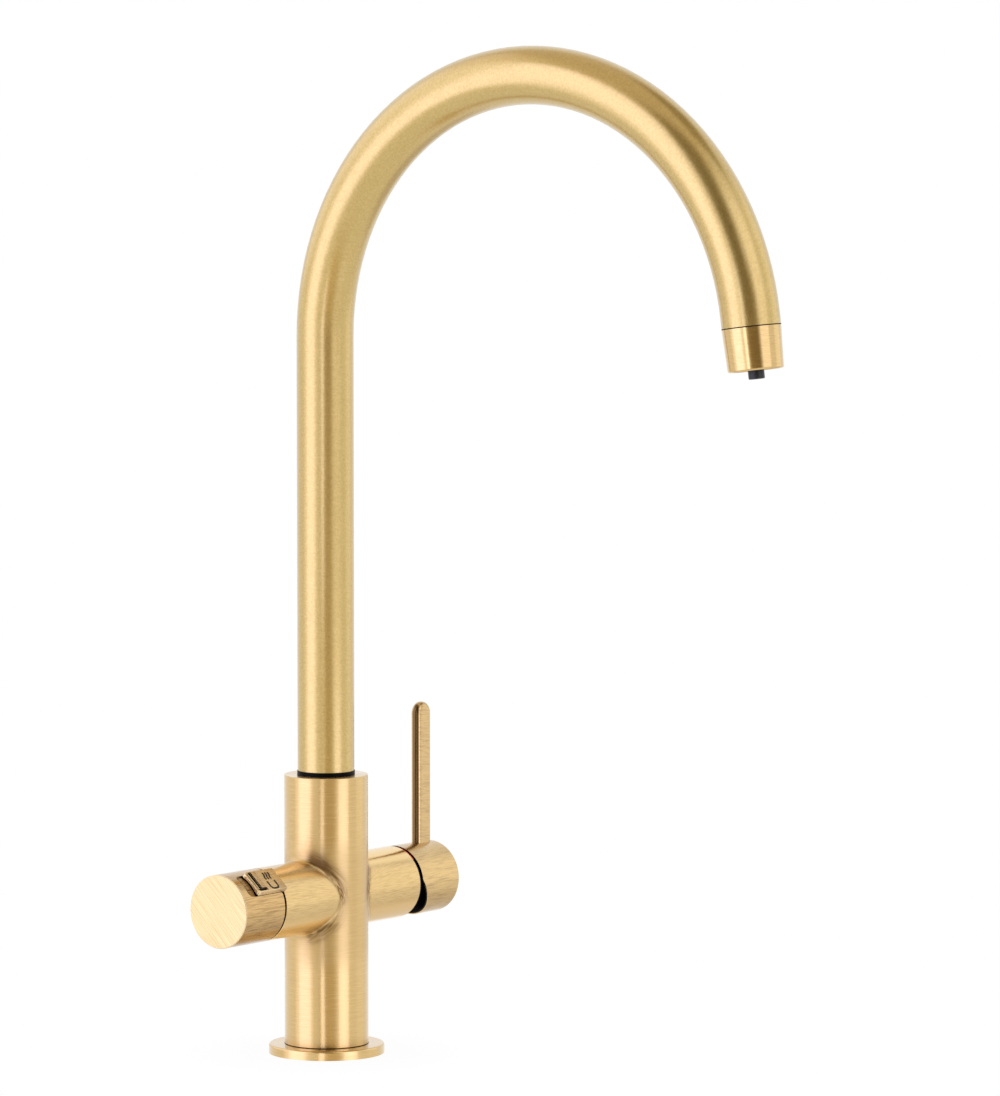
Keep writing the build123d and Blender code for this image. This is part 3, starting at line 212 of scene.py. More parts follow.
def broad_top(node):
    """Tilt forwards, and level above the arms' axis, of a node's broadest flat face that looks up."""
    areas = {}
    for face in frame["nodes"][node].data.polygons:
        if abs(face.normal.x) < 0.001 and face.normal.z > 0.3:
            tilt = math.atan2(-face.normal.y, face.normal.z)
            centre = face.center / MM
            level = (centre.z - ARM_HEIGHT) * math.cos(tilt) - centre.y * math.sin(tilt)
            place = (round(tilt, 3), round(level, 2))
            areas[place] = areas.get(place, 0) + face.area
    return max(areas, key=areas.get)


BUTTON_TILT, BUTTON_TOP = broad_top("lock_button")


class Wire:
    """One output socket of a node tree. Arithmetic on it adds Math nodes."""

    def __init__(self, tree, socket=None):
        self.tree = tree
        self.socket = socket

    def node(self, kind, settings=(), sockets=(), output=0):
        """A new node of this type: its settings first, then the values or links of its sockets."""
        made = self.tree.nodes.new("ShaderNode" + kind)
        for name, value in dict(settings).items():
            setattr(made, name, value)
        for name, value in dict(sockets).items():
            if isinstance(value, Wire):
                self.tree.links.new(value.socket, made.inputs[name])
            else:
                made.inputs[name].default_value = value
        return Wire(self.tree, made.outputs[output] if made.outputs else None)

    def other(self, output):
        """Another output of the node that this one comes from."""
        return Wire(self.tree, self.socket.node.outputs[output])

    def maths(self, operation, first, second=0.0):
        return self.node("Math", {"operation": operation}, {0: first, 1: second})

    def __add__(self, value):
        return self.maths("ADD", self, value)

    def __radd__(self, value):
        return self.maths("ADD", value, self)

    def __sub__(self, value):
        return self.maths("SUBTRACT", self, value)

    def __rsub__(self, value):
        return self.maths("SUBTRACT", value, self)

    def __mul__(self, value):
        return self.maths("MULTIPLY", self, value)

    def __rmul__(self, value):
        return self.maths("MULTIPLY", value, self)

    def __truediv__(self, value):
        return self.maths("DIVIDE", self, value)

    def __rtruediv__(self, value):
        return self.maths("DIVIDE", value, self)

    def __pow__(self, value):
        return self.maths("POWER", self, value)

    def __rpow__(self, value):
        return self.maths("POWER", value, self)

    def __neg__(self):
        return self.maths("MULTIPLY", -1, self)

    def __abs__(self):
        return self.maths("ABSOLUTE", self)

    def larger(self, value):
        return self.maths("MAXIMUM", self, value)

    def smaller(self, value):
        return self.maths("MINIMUM", self, value)

    def rise(self, low, high):
        """0 below low, 1 above high, with a smooth step between them."""
        return self.node(
            "MapRange",
            {"interpolation_type": "SMOOTHSTEP"},
            {"Value": self, "From Min": low, "From Max": high},
        )


def new_finish(name):
    """An empty material, and a wire to start its nodes from."""
    material = bpy.data.materials.new(name)
    material.use_nodes = True
    material.node_tree.nodes.clear()
    return material, Wire(material.node_tree)


def finish_surface(start, **sockets):
    """A Principled surface with these sockets, named with underscores, joined to the output."""
    named = {name.replace("_", " "): value for name, value in sockets.items()}
    shader = start.node("BsdfPrincipled", {}, named)
    start.node("OutputMaterial", {}, {"Surface": shader})


def brass_surface(start, bare=0.0, metal=1.0, **sockets):
    """Brass under clear lacquer, which is left off where bare is 1."""
    finish_surface(
        start,
        Metallic=metal,
        Coat_Weight=LACQUER * (1 - bare),
        Coat_Roughness=LACQUER_ROUGHNESS,
        **sockets,
    )


def millimetres(start):
    """The place on the object at rest, as x, y and z in millimetres."""
    place = start.node("TexCoord", output="Object")
    scaled = start.node("VectorMath", {"operation": "SCALE"}, {0: place, "Scale": 1 / MM})
    x = start.node("SeparateXYZ", {}, {0: scaled})
    return x, x.other("Y"), x.other("Z")


def facing(start):
    """The direction that the surface faces at rest, as x, y and z."""
    x = start.node("SeparateXYZ", {}, {0: start.node("TexCoord", output="Normal")})
    return x, x.other("Y"), x.other("Z")


def noise(start, x, y, z, detail=2.0, rough=0.6):
    """Smooth noise from 0 to 1, with grains about one unit of x, y and z apart."""
    vector = start.node("CombineXYZ", {}, {0: x, 1: y, 2: z})
    return start.node(
        "TexNoise", {}, {"Vector": vector, "Scale": 1, "Detail": detail, "Roughness": rough}
    )


def tint(start, share, first, second):
    """The first colour where share is 0 and the second where it is 1."""
    return start.node("Mix", {"data_type": "RGBA"}, {0: share, 6: first, 7: second}, output=2)


def blend(first, second, share):
    """The first value where share is 0 and the second where it is 1."""
    return first + (second - first) * share


def bump(start, height, depth):
    """Relief of this depth in microns, where height is from 0 to 1."""
    sockets = {"Strength": 1.0, "Distance": depth * MICRON, "Height": height}
    return start.node("Bump", {}, sockets)


def polar(first, second):
    """Distance from an axis, by the two places across it."""
    return (first * first + second * second) ** 0.5


def crease_places(y, reach, arm_reach):
    """Distance from the crease between column and arms, and a mask that is 1 on the arms."""
    out_of_column = reach - COLUMN_RADIUS
    out_of_arm = arm_reach - ARM_RADIUS
    cosine = y * y / (reach * arm_reach)
    sine = (1 - cosine * cosine).larger(0.01) ** 0.5
    off_crease = out_of_column.larger(out_of_arm) / sine
    on_arm = (out_of_column - out_of_arm).rise(-CREASE_BLEND, CREASE_BLEND)
    return off_crease, on_arm


def crease_wear_and_shade(y, rise, off_crease, on_arm, crease, sanded):
    """Brown over the front of the creases: sanding strokes that are partly painted shade, a painted shade
    groove, painted shade beside the arms and a painted shade spot on the column above each arm.
    """
    front, drop = -y, -rise
    # Painted shade: the bottom of the crease darkened as a groove.
    groove = 1 - off_crease.rise(*GROOVE_FADE)
    sanding = 0.6 * crease * sanded.rise(0.38, 0.64) + groove * (0.1 + 0.35 * sanded.rise(0.35, 0.6))
    sanding = sanding * (0.9 + 0.3 * abs(rise).rise(2, 13))
    # Painted shade beside the crease, stronger above the arm than below it.
    shade = 1 - (off_crease * (1 + 3 * on_arm)).rise(*SHADE_FADE)
    shade = shade * (0.12 + 0.4 * rise.rise(4, 13) + 0.2 * drop.rise(4, 13))
    low_front = drop.rise(1, 4) * (1 - drop.rise(9.5, 12))
    arm_edge = on_arm * abs(rise).rise(8, 12)
    # The brown is kept to the front of each crease, with less of it just below the middle and at the arm's
    # edge.
    at_front = front.rise(2.5, 6) * (1 - 0.6 * low_front) * (1 - 0.5 * arm_edge)
    # Painted shade: a dark spot on the column just above each arm, at the front.
    shade_spot = front.rise(4, 7) * (1 - front.rise(10, 13)) * rise.rise(4, 12) * (1 - on_arm)
    shade_spot = 0.45 * shade_spot * (1 - off_crease.rise(*SHADE_SPOT_FADE))
    return (at_front * (sanding + shade) + shade_spot).smaller(MOST_WEAR_AND_SHADE)


def arm_painted_light(x, rise, on_arm):
    """Masks of painted highlight bands along the tops and undersides of the arms, and of a band on top of
    the left arm made less metallic so that diffuse light brightens it, as painted light.
    """
    tilted = rise / ARM_RADIUS
    left = (-x).rise(0, 5)
    upper = tilted.rise(0.64, 0.78) * (1 - 0.75 * left * tilted.rise(0.9, 0.96))
    pale = on_arm * upper.larger((-tilted).rise(0.2, 0.56))
    lightened_band = on_arm * left * tilted.rise(0.74, 0.88) * (1 - tilted.rise(0.86, 0.97))
    return pale, lightened_band


def casting_finish():
    """Brushed round the column and swept along the arms; brown over the creases is partly sanding marks and
    partly painted shade, with painted shade at the column's foot and the arms' ends and painted highlight
    bands along the arms.
    """
    material, start = new_finish("casting_brass")
    x, y, z = millimetres(start)
    rise = z - ARM_HEIGHT
    reach, arm_reach = polar(x, y), polar(y, rise)
    off_crease, on_arm = crease_places(y, reach, arm_reach)
    crease = 1 - (off_crease * (1 + 1.5 * on_arm)).rise(*SANDING_FADE)
    near_arms = (1 - abs(rise + 3).rise(18, 31)) * (1 - on_arm)

    round_marks = noise(start, x / reach * 2.2, y / reach * 2.2, z / COLUMN_LINE_SPACE, detail=3.0)
    swept = rise / (1 - 0.55 * start.maths("EXPONENT", off_crease / -9))
    arm_marks = noise(start, x / ARM_STROKE_LENGTH, swept / ARM_STROKE_SPACE, y / ARM_STROKE_DEPTH)
    marks = blend(round_marks, arm_marks, on_arm)
    across, along = rise / arm_reach, y / arm_reach
    sanded = noise(start, off_crease / SANDING_SPACE + 5 * across, along * 3, across * 3)
    speck = noise(start, x / COLUMN_SPECK, y / COLUMN_SPECK, z / COLUMN_SPECK)
    relief = (0.1 + 0.7 * on_arm) * marks + 0.5 * crease * sanded + 0.7 * near_arms * speck

    # Painted shade: black in a thin line at the column's foot and on the arms' end faces inside the gaps to
    # the knobs.
    foot = 1 - z.rise(FLANGE_TOP + 0.1, FLANGE_TOP + 0.45)
    seam_shade = abs(x).rise(ARM_END - 0.12, ARM_END - 0.03).larger(foot)
    # Painted shade: brown mottling over the lowest 5 mm of the column.
    low = (1 - z.rise(FLANGE_TOP, FLANGE_TOP + 5)) * round_marks.rise(0.3, 0.7)
    # Brown from sanding marks and painted shade in the creases.
    brown = crease_wear_and_shade(y, rise, off_crease, on_arm, crease, sanded)
    pale, lightened_band = arm_painted_light(x, rise, on_arm)
    dark = tint(start, on_arm, BODY_DARK, ARM_DARK)
    clean = tint(start, marks.rise(0.25, 0.75 - 0.1 * on_arm), dark, BODY_BRASS)
    # Painted highlight: paler brass bands along the arms.
    clean = tint(start, pale, clean, PAINTED_LIGHT_BRASS)
    worn_and_shaded = tint(start, brown + 0.2 * low, clean, PATINA_AND_SHADE)
    brass_surface(
        start,
        bare=seam_shade.larger(brown),
        # Painted light: less metal on the left arm's top band, so that diffuse light brightens it.
        metal=1 - 0.4 * lightened_band,
        Base_Color=tint(start, seam_shade, worn_and_shaded, SHADED),
        Roughness=0.24 + 0.05 * marks + 0.16 * near_arms + 0.08 * crease - 0.05 * on_arm,
        Anisotropic=0.8,
        Anisotropic_Rotation=0.25,
        Normal=bump(start, relief, CASTING_RELIEF),
    )
    return material


def flange_finish():
    """Turned round, with painted shade in a thin black ring against the column."""
    material, start = new_finish("flange_brass")
    x, y, z = millimetres(start)
    reach = polar(x, y)
    turned = z / FLANGE_EDGE_SPACE + reach / FLANGE_TOP_SPACE
    marks = noise(start, x / reach * 3, y / reach * 3, turned)
    # Painted shade: black where the flange meets the column.
    seam_shade = 1 - reach.rise(COLUMN_RADIUS + 0.05, COLUMN_RADIUS + 0.4)
    clean = tint(start, marks.rise(0.25, 0.75), BODY_DARK, BODY_BRASS)
    brass_surface(
        start,
        bare=seam_shade,
        Base_Color=tint(start, seam_shade, clean, SHADED),
        Roughness=0.18 + 0.12 * marks,
        Anisotropic=0.5,
        Anisotropic_Rotation=0.25,
        Normal=bump(start, marks, FLANGE_RELIEF),
    )
    return material


def spout_finish():
    """Satin brass with a fine grain, faint lines across the tube and soft clouds."""
    material, start = new_finish("spout_satin_brass")
    x, y, z = millimetres(start)
    above = z - ARCH_START
    inward = y + ARCH_RADIUS
    in_arch = above.rise(-0.5, 0.5)
    turn = start.maths("ARCTAN2", above, inward)
    along = blend(z, ARCH_START + ARCH_RADIUS * turn, in_arch) + 0.25 * x
    off_axis = blend(y, polar(above, inward) - ARCH_RADIUS, in_arch)
    lines = noise(
        start,
        x / SPOUT_LINE_LENGTH,
        off_axis / SPOUT_LINE_LENGTH,
        along / SPOUT_LINE_SPACE,
        detail=3.0,
    )
    grain = noise(
        start, x / SPOUT_GRAIN, off_axis / SPOUT_GRAIN, along / SPOUT_GRAIN, detail=3.0, rough=0.7
    )
    cloud = noise(start, x / SPOUT_CLOUD, y / SPOUT_CLOUD, z / SPOUT_CLOUD)
    light = lines.rise(0.3, 0.7) * 0.25 + grain.rise(0.3, 0.7) * 0.55 + cloud * 0.2
    brass_surface(
        start,
        Base_Color=tint(start, light, SPOUT_DARK, SPOUT_BRASS),
        Roughness=0.25 + 0.05 * grain + 0.03 * cloud,
        Normal=bump(start, 0.7 * grain + 0.3 * lines, SPOUT_RELIEF),
    )
    return material


def nozzle_finish():
    """Polished brass with fine marks round it."""
    material, start = new_finish("nozzle_brass")
    x, y, z = millimetres(start)
    marks = noise(
        start, x / NOZZLE_LINE_LENGTH, y / NOZZLE_LINE_LENGTH, z / NOZZLE_LINE_SPACE, detail=3.0
    )
    brass_surface(
        start,
        Base_Color=tint(start, marks.rise(0.3, 0.7), BODY_DARK, BODY_BRASS),
        Roughness=0.13 + 0.06 * marks,
        Normal=bump(start, marks, NOZZLE_RELIEF),
    )
    return material


def side_strokes(start, x, y, rise):
    """Straight broken strokes along the side of the knob and the handle."""
    return noise(
        start,
        x / KNOB_STROKE_LENGTH,
        y / KNOB_STROKE_SPACE,
        rise / KNOB_STROKE_SPACE,
        rough=0.5,
    )


def face_lines(start, y, rise):
    """Straight slanting brush lines across the end face of the knob and the handle."""
    slant = math.sqrt(0.5)
    along = (y + rise) * slant
    across = (rise - y) * slant
    return noise(start, across / FACE_LINE_SPACE, along / FACE_LINE_LENGTH, 0.0)


def knob_finish():
    """Strokes along its side, lines on its face, painted black shade under the button and in the seam,
    painted brown shade in the scoop beyond it with a painted highlight on its forward slope, and a painted
    highlight on the outer chamfer.
    """
    material, start = new_finish("knob_brass")
    x, y, z = millimetres(start)
    facing_x, facing_y, facing_z = facing(start)
    rise = z - ARM_HEIGHT
    away = -x
    on_face = abs(facing_x).rise(0.8, 0.95)
    strokes = side_strokes(start, x, y, rise)
    lines = face_lines(start, y, rise)
    marks = blend(strokes, lines, on_face)
    side = tint(start, strokes.rise(0.25, 0.62), KNOB_DARK, KNOB_BRASS)
    face = tint(start, lines.rise(0.25, 0.62), FACE_DARK, FACE_BRASS)
    # Painted highlight: a golden, less metallic chamfer round the outer end.
    chamfer = away.rise(KNOB_END - 0.5, KNOB_END - 0.3) * (1 - on_face)
    clean = tint(start, chamfer, tint(start, on_face, side, face), EDGE_HIGHLIGHT_GOLD)

    scoop_end = BUTTON_END + SCOOP_LENGTH
    beyond = away.rise(scoop_end, scoop_end + 0.2)
    inside = (1 - polar(y, rise).rise(ARM_RADIUS - 0.14, ARM_RADIUS - 0.02)) * (1 - beyond)
    # Painted shade: black under the button and on the knob's inner rim face in the seam.
    under = inside * (1 - away.rise(BUTTON_END - 0.2, BUTTON_END + 0.2))
    black = under.larger(1 - away.rise(KNOB_START + 0.02, KNOB_START + 0.1))
    forwards = -(facing_y * math.cos(BUTTON_TILT) + facing_z * math.sin(BUTTON_TILT))
    # Painted shade: brown in the scoop, with a painted highlight where it slopes forwards.
    scoop = tint(start, strokes.rise(0.3, 0.6), PATINA_AND_SHADE, SCOOP_SHADE_BROWN)
    scoop = tint(start, forwards.rise(0.4, 0.7), scoop, EDGE_HIGHLIGHT_GOLD)
    brass_surface(
        start,
        bare=black.larger(inside),
        metal=1 - 0.7 * inside.larger(chamfer),
        Base_Color=tint(start, black, tint(start, inside, clean, scoop), SHADED),
        Roughness=0.22 + 0.12 * marks,
        Anisotropic=0.4,
        Anisotropic_Rotation=0.25,
        Normal=bump(start, marks, KNOB_RELIEF),
    )
    return material


def handle_finish():
    """Strokes along its side, lines on its face, painted black shade in its hollow."""
    material, start = new_finish("handle_brass")
    x, y, z = millimetres(start)
    rise = z - ARM_HEIGHT
    on_face = abs(facing(start)[0]).rise(0.8, 0.95)
    marks = blend(side_strokes(start, x, y, rise), face_lines(start, y, rise), on_face)
    # Painted shade: black inside the hollow.
    hollow = 1 - polar(y, rise).rise(HANDLE_RADIUS - 0.45, HANDLE_RADIUS - 0.3)
    black = hollow * (1 - x.rise(HANDLE_END - 2, HANDLE_END - 1))
    clean = tint(start, marks.rise(0.2, 0.62), HANDLE_DARK, HANDLE_BRASS)
    brass_surface(
        start,
        bare=black,
        Base_Color=tint(start, black, clean, SHADED),
        Roughness=0.22 + 0.12 * marks,
        Anisotropic=0.4,
        Anisotropic_Rotation=0.25,
        Normal=bump(start, marks, KNOB_RELIEF),
    )
    return material


def lever_finish():
    """Fine marks across the bar, with a painted dark reflection along the front of its rounded edges."""
    material, start = new_finish("lever_brass")
    x, y, z = millimetres(start)
    slanted = z / LEVER_LINE_SPACE + x / LEVER_LINE_SLOPE
    marks = noise(start, x / LEVER_LINE_LENGTH, y / LEVER_LINE_LENGTH, slanted, detail=3.0)
    sideways = abs(facing(start)[0])
    depth = (y - LEVER_FRONT) / (LEVER_BACK - LEVER_FRONT)
    # Painted reflection: dark brown on the front half of the rounded narrow sides.
    edge = sideways.rise(0.5, 0.7) * (1 - depth.rise(0.5, 0.75))
    clean = tint(start, marks.rise(0.28, 0.62), HANDLE_DARK, LEVER_BRASS)
    brass_surface(
        start,
        bare=edge,
        Base_Color=tint(start, edge * (0.8 + 0.2 * marks), clean, LEVER_DARK_REFLECTION),
        Roughness=0.2 + 0.05 * marks,
        Normal=bump(start, marks, LEVER_RELIEF),
    )
    return material


def button_finish():
    """Satin brass with painted highlights on its rounded edges, painted black shade in the grip's recess
    and under the lip, and painted shade at the front corner and low walls of its inner end.
    """
    material, start = new_finish("button_brass")
    x, y, z = millimetres(start)
    rise = z - ARM_HEIGHT
    away = -x
    upward = rise * math.cos(BUTTON_TILT) - y * math.sin(BUTTON_TILT)
    forward = -(y * math.cos(BUTTON_TILT) + rise * math.sin(BUTTON_TILT))
    level = upward - BUTTON_TOP
    grain = noise(
        start,
        x / BUTTON_STROKE_LENGTH,
        forward / BUTTON_STROKE_SPACE,
        upward / BUTTON_STROKE_SPACE,
        detail=3.0,
    )

    grip_end = BUTTON_END - GRIP_LIP
    grip_start = grip_end - GRIP_LENGTH
    grip_side = BUTTON_HALF_WIDTH - GRIP_SIDE
    in_grip = away.rise(grip_start - 0.1, grip_start) * (1 - away.rise(grip_end, grip_end + 0.1))
    in_grip = in_grip * (1 - abs(forward).rise(grip_side, grip_side + 0.1))
    # Painted shade: black at the bottom of the grip's recess and under the lip.
    deep = in_grip * (1 - level.rise(-0.9, -0.45))
    lip_foot = BUTTON_TOP - LIP_DROP
    low = 1 - polar(y, rise).rise(lip_foot, lip_foot + 0.1)
    black = deep.larger(away.rise(BUTTON_END - 1.2, BUTTON_END - 0.9) * low)

    # Painted highlight: golden, less metallic rounded edges.
    rounded = 1 - level.rise(-0.3, -0.06)
    # Painted shade: brown at the front corner and low on the walls of the inner end.
    corner = forward.rise(-2, BUTTON_HALF_WIDTH) * (1 - away.rise(KNOB_START - 1, KNOB_START + 6))
    wall = (1 - level.rise(-0.9, -0.5)) * (1 - away.rise(KNOB_START - 1, KNOB_START + 9))
    plain = tint(start, grain.rise(0.15, 0.8), TILE_DARK, TILE_BRASS)
    clean = tint(start, rounded, plain, EDGE_HIGHLIGHT_GOLD)
    clean = tint(start, 0.45 * corner.larger(wall), clean, PATINA_AND_SHADE)
    brass_surface(
        start,
        bare=black,
        metal=1 - 0.2 * rounded * (1 - black),
        Base_Color=tint(start, black, clean, SHADED),
        Roughness=0.22 + 0.12 * grain,
        Normal=bump(start, grain, BUTTON_RELIEF),
    )
    return material


def moulded_finish(name, colour, pale, roughness, grain_size, gloss=0.5):
    """Plastic, rubber or ceramic with a fine moulded grain."""
    material, start = new_finish(name)
    x, y, z = millimetres(start)
    grain = noise(start, x / grain_size, y / grain_size, z / grain_size, detail=3.0)
    finish_surface(
        start,
        Base_Color=tint(start, grain, colour, pale),
        Roughness=roughness + 0.12 * grain,
        Specular_IOR_Level=gloss,
        Normal=bump(start, grain, PLAIN_RELIEF),
    )
    return material


def turned_finish(name, colour, pale, roughness):
    """Plain machined metal with fine turning marks."""
    material, start = new_finish(name)
    x, y, z = millimetres(start)
    marks = noise(start, x / TURNED_LINE_LENGTH, y / TURNED_LINE_LENGTH, z / TURNED_LINE_SPACE)
    cloud = noise(start, x / TURNED_CLOUD, y / TURNED_CLOUD, z / TURNED_CLOUD)
    finish_surface(
        start,
        Base_Color=tint(start, 0.6 * marks + 0.4 * cloud, colour, pale),
        Metallic=1.0,
        Roughness=roughness + 0.15 * marks,
        Normal=bump(start, marks, PLAIN_RELIEF),
    )
    return material


slot_finishes = {
    "satin_brass": spout_finish(),
    "plain_brass": turned_finish("machined_brass", PLAIN_DARK, PLAIN_BRASS, roughness=0.22),
    "black_plastic": moulded_finish(
        "black_plastic",
        (0.002, 0.002, 0.002, 1),
        (0.004, 0.004, 0.004, 1),
        roughness=0.3,
        grain_size=0.4,
        gloss=0.05,
    ),
    "white_plastic": moulded_finish(
        "white_plastic", (0.72, 0.72, 0.7, 1), (0.8, 0.8, 0.78, 1), roughness=0.35, grain_size=0.5
    ),
    "black_rubber": moulded_finish(
        "black_rubber",
        (0.003, 0.003, 0.003, 1),
        (0.008, 0.008, 0.008, 1),
        roughness=0.5,
        grain_size=0.3,
        gloss=0.1,
    ),
    "clear_hose": moulded_finish(
        "clear_hose", (0.7, 0.73, 0.74, 1), (0.8, 0.82, 0.82, 1), roughness=0.3, grain_size=0.8
    ),
    "ceramic": moulded_finish(
        "ceramic", (0.78, 0.76, 0.7, 1), (0.84, 0.82, 0.78, 1), roughness=0.18, grain_size=0.3
    ),
    "steel": turned_finish("steel", (0.48, 0.48, 0.49, 1), (0.6, 0.6, 0.61, 1), roughness=0.25),
    "red_mark": moulded_finish(
        "red_mark",
        (0.5, 0.03, 0.012, 1),
        (0.6, 0.045, 0.02, 1),
        roughness=0.35,
        grain_size=0.3,
        gloss=0.2,
    ),
    "blue_mark": moulded_finish(
        "blue_mark", (0.01, 0.05, 0.4, 1), (0.015, 0.07, 0.5, 1), roughness=0.35, grain_size=0.3
    ),
}
node_finishes = {
    "body_casting": casting_finish(),
    "base_flange": flange_finish(),
    "boil_knob_shell": knob_finish(),
    "handle_cap": handle_finish(),
    "nozzle_housing": nozzle_finish(),
    "lever_bar": lever_finish(),
    "centre_nozzle": moulded_finish(
        "nozzle_plastic",
        (0.012, 0.012, 0.012, 1),
        (0.03, 0.03, 0.03, 1),
        roughness=0.3,
        grain_size=0.4,
        gloss=0.4,
    ),
    "lock_button": button_finish(),
}


def dress_nodes():
    """Gives every CAD node its finish."""
    for name, node in frame["nodes"].items():
        for slot in node.material_slots:
            slot.material = node_finishes.get(name) or slot_finishes[slot.material.name]


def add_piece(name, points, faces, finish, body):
    """A new mesh piece, from points in millimetres."""
    mesh = bpy.data.meshes.new(name)
    mesh.from_pydata([Vector(point) * MM for point in points], [], faces)
    mesh.materials.append(finish)
    mesh.update()
    piece = bpy.data.objects.new(name, mesh)
    bpy.context.scene.collection.objects.link(piece)
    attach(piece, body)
    return piece


def button_point(along, forward, level):
    """A point over the button: along the knob, forwards and down, and above the knob's axis."""
    return (
        -along,
        -forward * math.cos(BUTTON_TILT) - level * math.sin(BUTTON_TILT),
        ARM_HEIGHT - forward * math.sin(BUTTON_TILT) + level * math.cos(BUTTON_TILT),
    )


def mark_lines():
    """Centre lines of the mark, as places along and forwards: three waves of steam over a cup."""
    middle, foot = MARK_PLACE[0], MARK_PLACE[1] + (WAVE_LENGTH + MARK_GAP + CUP_HEIGHT) / 2
    rim = foot - CUP_HEIGHT
    lines = []
    for offset in (-WAVE_SPACING, 0, WAVE_SPACING):
        wave = []
        for i in range(WAVE_STEPS + 1):
            share = i / WAVE_STEPS
            swing = WAVE_SWING * math.sin(2 * math.pi * share)
            wave.append((middle + offset + swing, rim - MARK_GAP - WAVE_LENGTH * share))
        lines.append(wave)
    side = CUP_WIDTH / 2
    cup = [(middle - side, rim)]
    for direction, first in ((-1, 180), (1, 90)):
        centre = middle + direction * (side - CUP_ROUND)
        for i in range(CUP_ROUND_STEPS + 1):
            angle = math.radians(first - 90 * i / CUP_ROUND_STEPS)
            along = centre + CUP_ROUND * math.cos(angle)
            cup.append((along, foot - CUP_ROUND + CUP_ROUND * math.sin(angle)))
    cup.append((middle + side, rim))
    lines.append(cup)
    return lines


def add_mark():
    """The mark on the button, as ribbons just proud of its top."""
    points, faces = [], []
    for line in mark_lines():
        first = len(points)
        for i, place in enumerate(line):
            before, after = Vector(line[max(i - 1, 0)]), Vector(line[min(i + 1, len(line) - 1)])
            run = (after - before).normalized()
            edge = Vector((-run.y, run.x)) * MARK_LINE / 2
            left, right = Vector(place) + edge, Vector(place) - edge
            for side, level in ((left, -1), (left, 1), (right, 1), (right, -1)):
                points.append(button_point(side.x, side.y, BUTTON_TOP + level * MARK_PROUD))
        for i in range(len(line) - 1):
            a, b = first + 4 * i, first + 4 * (i + 1)
            faces += [(a + k, a + k + 1, b + k + 1, b + k) for k in range(3)]
        last = first + 4 * (len(line) - 1)
        faces += [(first + 3, first + 2, first + 1, first), (last, last + 1, last + 2, last + 3)]
    ink = moulded_finish(
        "mark_ink",
        (0.03, 0.018, 0.008, 1),
        (0.05, 0.03, 0.013, 1),
        roughness=0.45,
        grain_size=0.3,
        gloss=0.2,
    )
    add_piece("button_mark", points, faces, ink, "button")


def thread_radius(height, turn):
    """Radius of the screw thread, by the share of a turn. It fades out at both ends of the shank."""
    from_end = min(height - SHANK_BOTTOM, SHANK_TOP - height)
    full = min(1, from_end / THREAD_PITCH)
    phase = (height / THREAD_PITCH - turn) % 1
    cut = min(1, max(0, THREAD_FLANK * (0.5 - abs(2 * phase - 1))))
    return SHANK_RADIUS - THREAD_DEPTH * (1 - full * (1 - cut))


def add_thread():
    """The shank with its screw thread and its bore, as rings up the thread and down the bore."""
    length = SHANK_TOP - SHANK_BOTTOM
    rows = round(length / THREAD_PITCH * THREAD_ROWS)
    turns = [j / THREAD_COLUMNS for j in range(THREAD_COLUMNS)]
    rings = []
    for i in range(rows + 1):
        height = SHANK_BOTTOM + length * i / rows
        rings.append([(thread_radius(height, turn), turn, height) for turn in turns])
    for height in (SHANK_TOP, SHANK_BOTTOM):
        rings.append([(SHANK_BORE_RADIUS, turn, height) for turn in turns])
    points, faces = [], []
    for i, ring in enumerate(rings):
        a, b = i * THREAD_COLUMNS, (i + 1) % len(rings) * THREAD_COLUMNS
        for j, (radius, turn, height) in enumerate(ring):
            angle = 2 * math.pi * turn
            points.append((radius * math.cos(angle), radius * math.sin(angle), height))
            beside = (j + 1) % THREAD_COLUMNS
            faces.append((a + j, a + beside, b + beside, b + j))
    finish = slot_finishes["plain_brass"]
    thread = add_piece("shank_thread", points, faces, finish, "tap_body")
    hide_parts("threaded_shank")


def add_spring():
    """A copy of the lock spring, joined to the knob in place of its CAD node; the sliding button squeezes
    the real spring against the knob's outer end.
    """
    coil = bpy.data.objects.new("lock_spring_coil", frame["nodes"]["lock_spring"].data.copy())
    bpy.context.scene.collection.objects.link(coil)
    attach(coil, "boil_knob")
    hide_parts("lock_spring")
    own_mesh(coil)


def add_camera():
    """The camera of the photograph."""
    azimuth = math.radians(CAMERA_AZIMUTH)
    heading = math.radians(CAMERA_AZIMUTH + CAMERA_TURN)
    pitch = math.radians(CAMERA_PITCH)
    camera = bpy.data.objects.new("camera", bpy.data.cameras.new("camera"))
    camera.location = (
        CAMERA_DISTANCE * math.sin(azimuth),
        -CAMERA_DISTANCE * math.cos(azimuth),
        CAMERA_HEIGHT,
    )
    forward = Vector(
        (
            -math.sin(heading) * math.cos(pitch),
            math.cos(heading) * math.cos(pitch),
            -math.sin(pitch),
        )
    )
    camera.rotation_euler = forward.to_track_quat("-Z", "Y").to_euler()
    camera.data.lens = CAMERA_LENS
    camera.data.sensor_width = CAMERA_SENSOR
    camera.data.clip_end = CAMERA_SIGHT
    bpy.context.scene.collection.objects.link(camera)
    bpy.context.scene.camera = camera


def around(angle, lift, distance=STUDIO_RADIUS):
    """A place in the studio: degrees to the right of the camera and up, seen from the tap."""
    turn = math.radians(CAMERA_AZIMUTH + angle)
    up = math.radians(lift)
    return TAP_MIDDLE + distance * Vector(
        (math.sin(turn) * math.cos(up), -math.cos(turn) * math.cos(up), math.sin(up))
    )


def spanned(degrees, distance=STUDIO_RADIUS):
    """Width that takes up this angle at this distance from the tap."""
    return 2 * distance * math.tan(math.radians(degrees / 2))


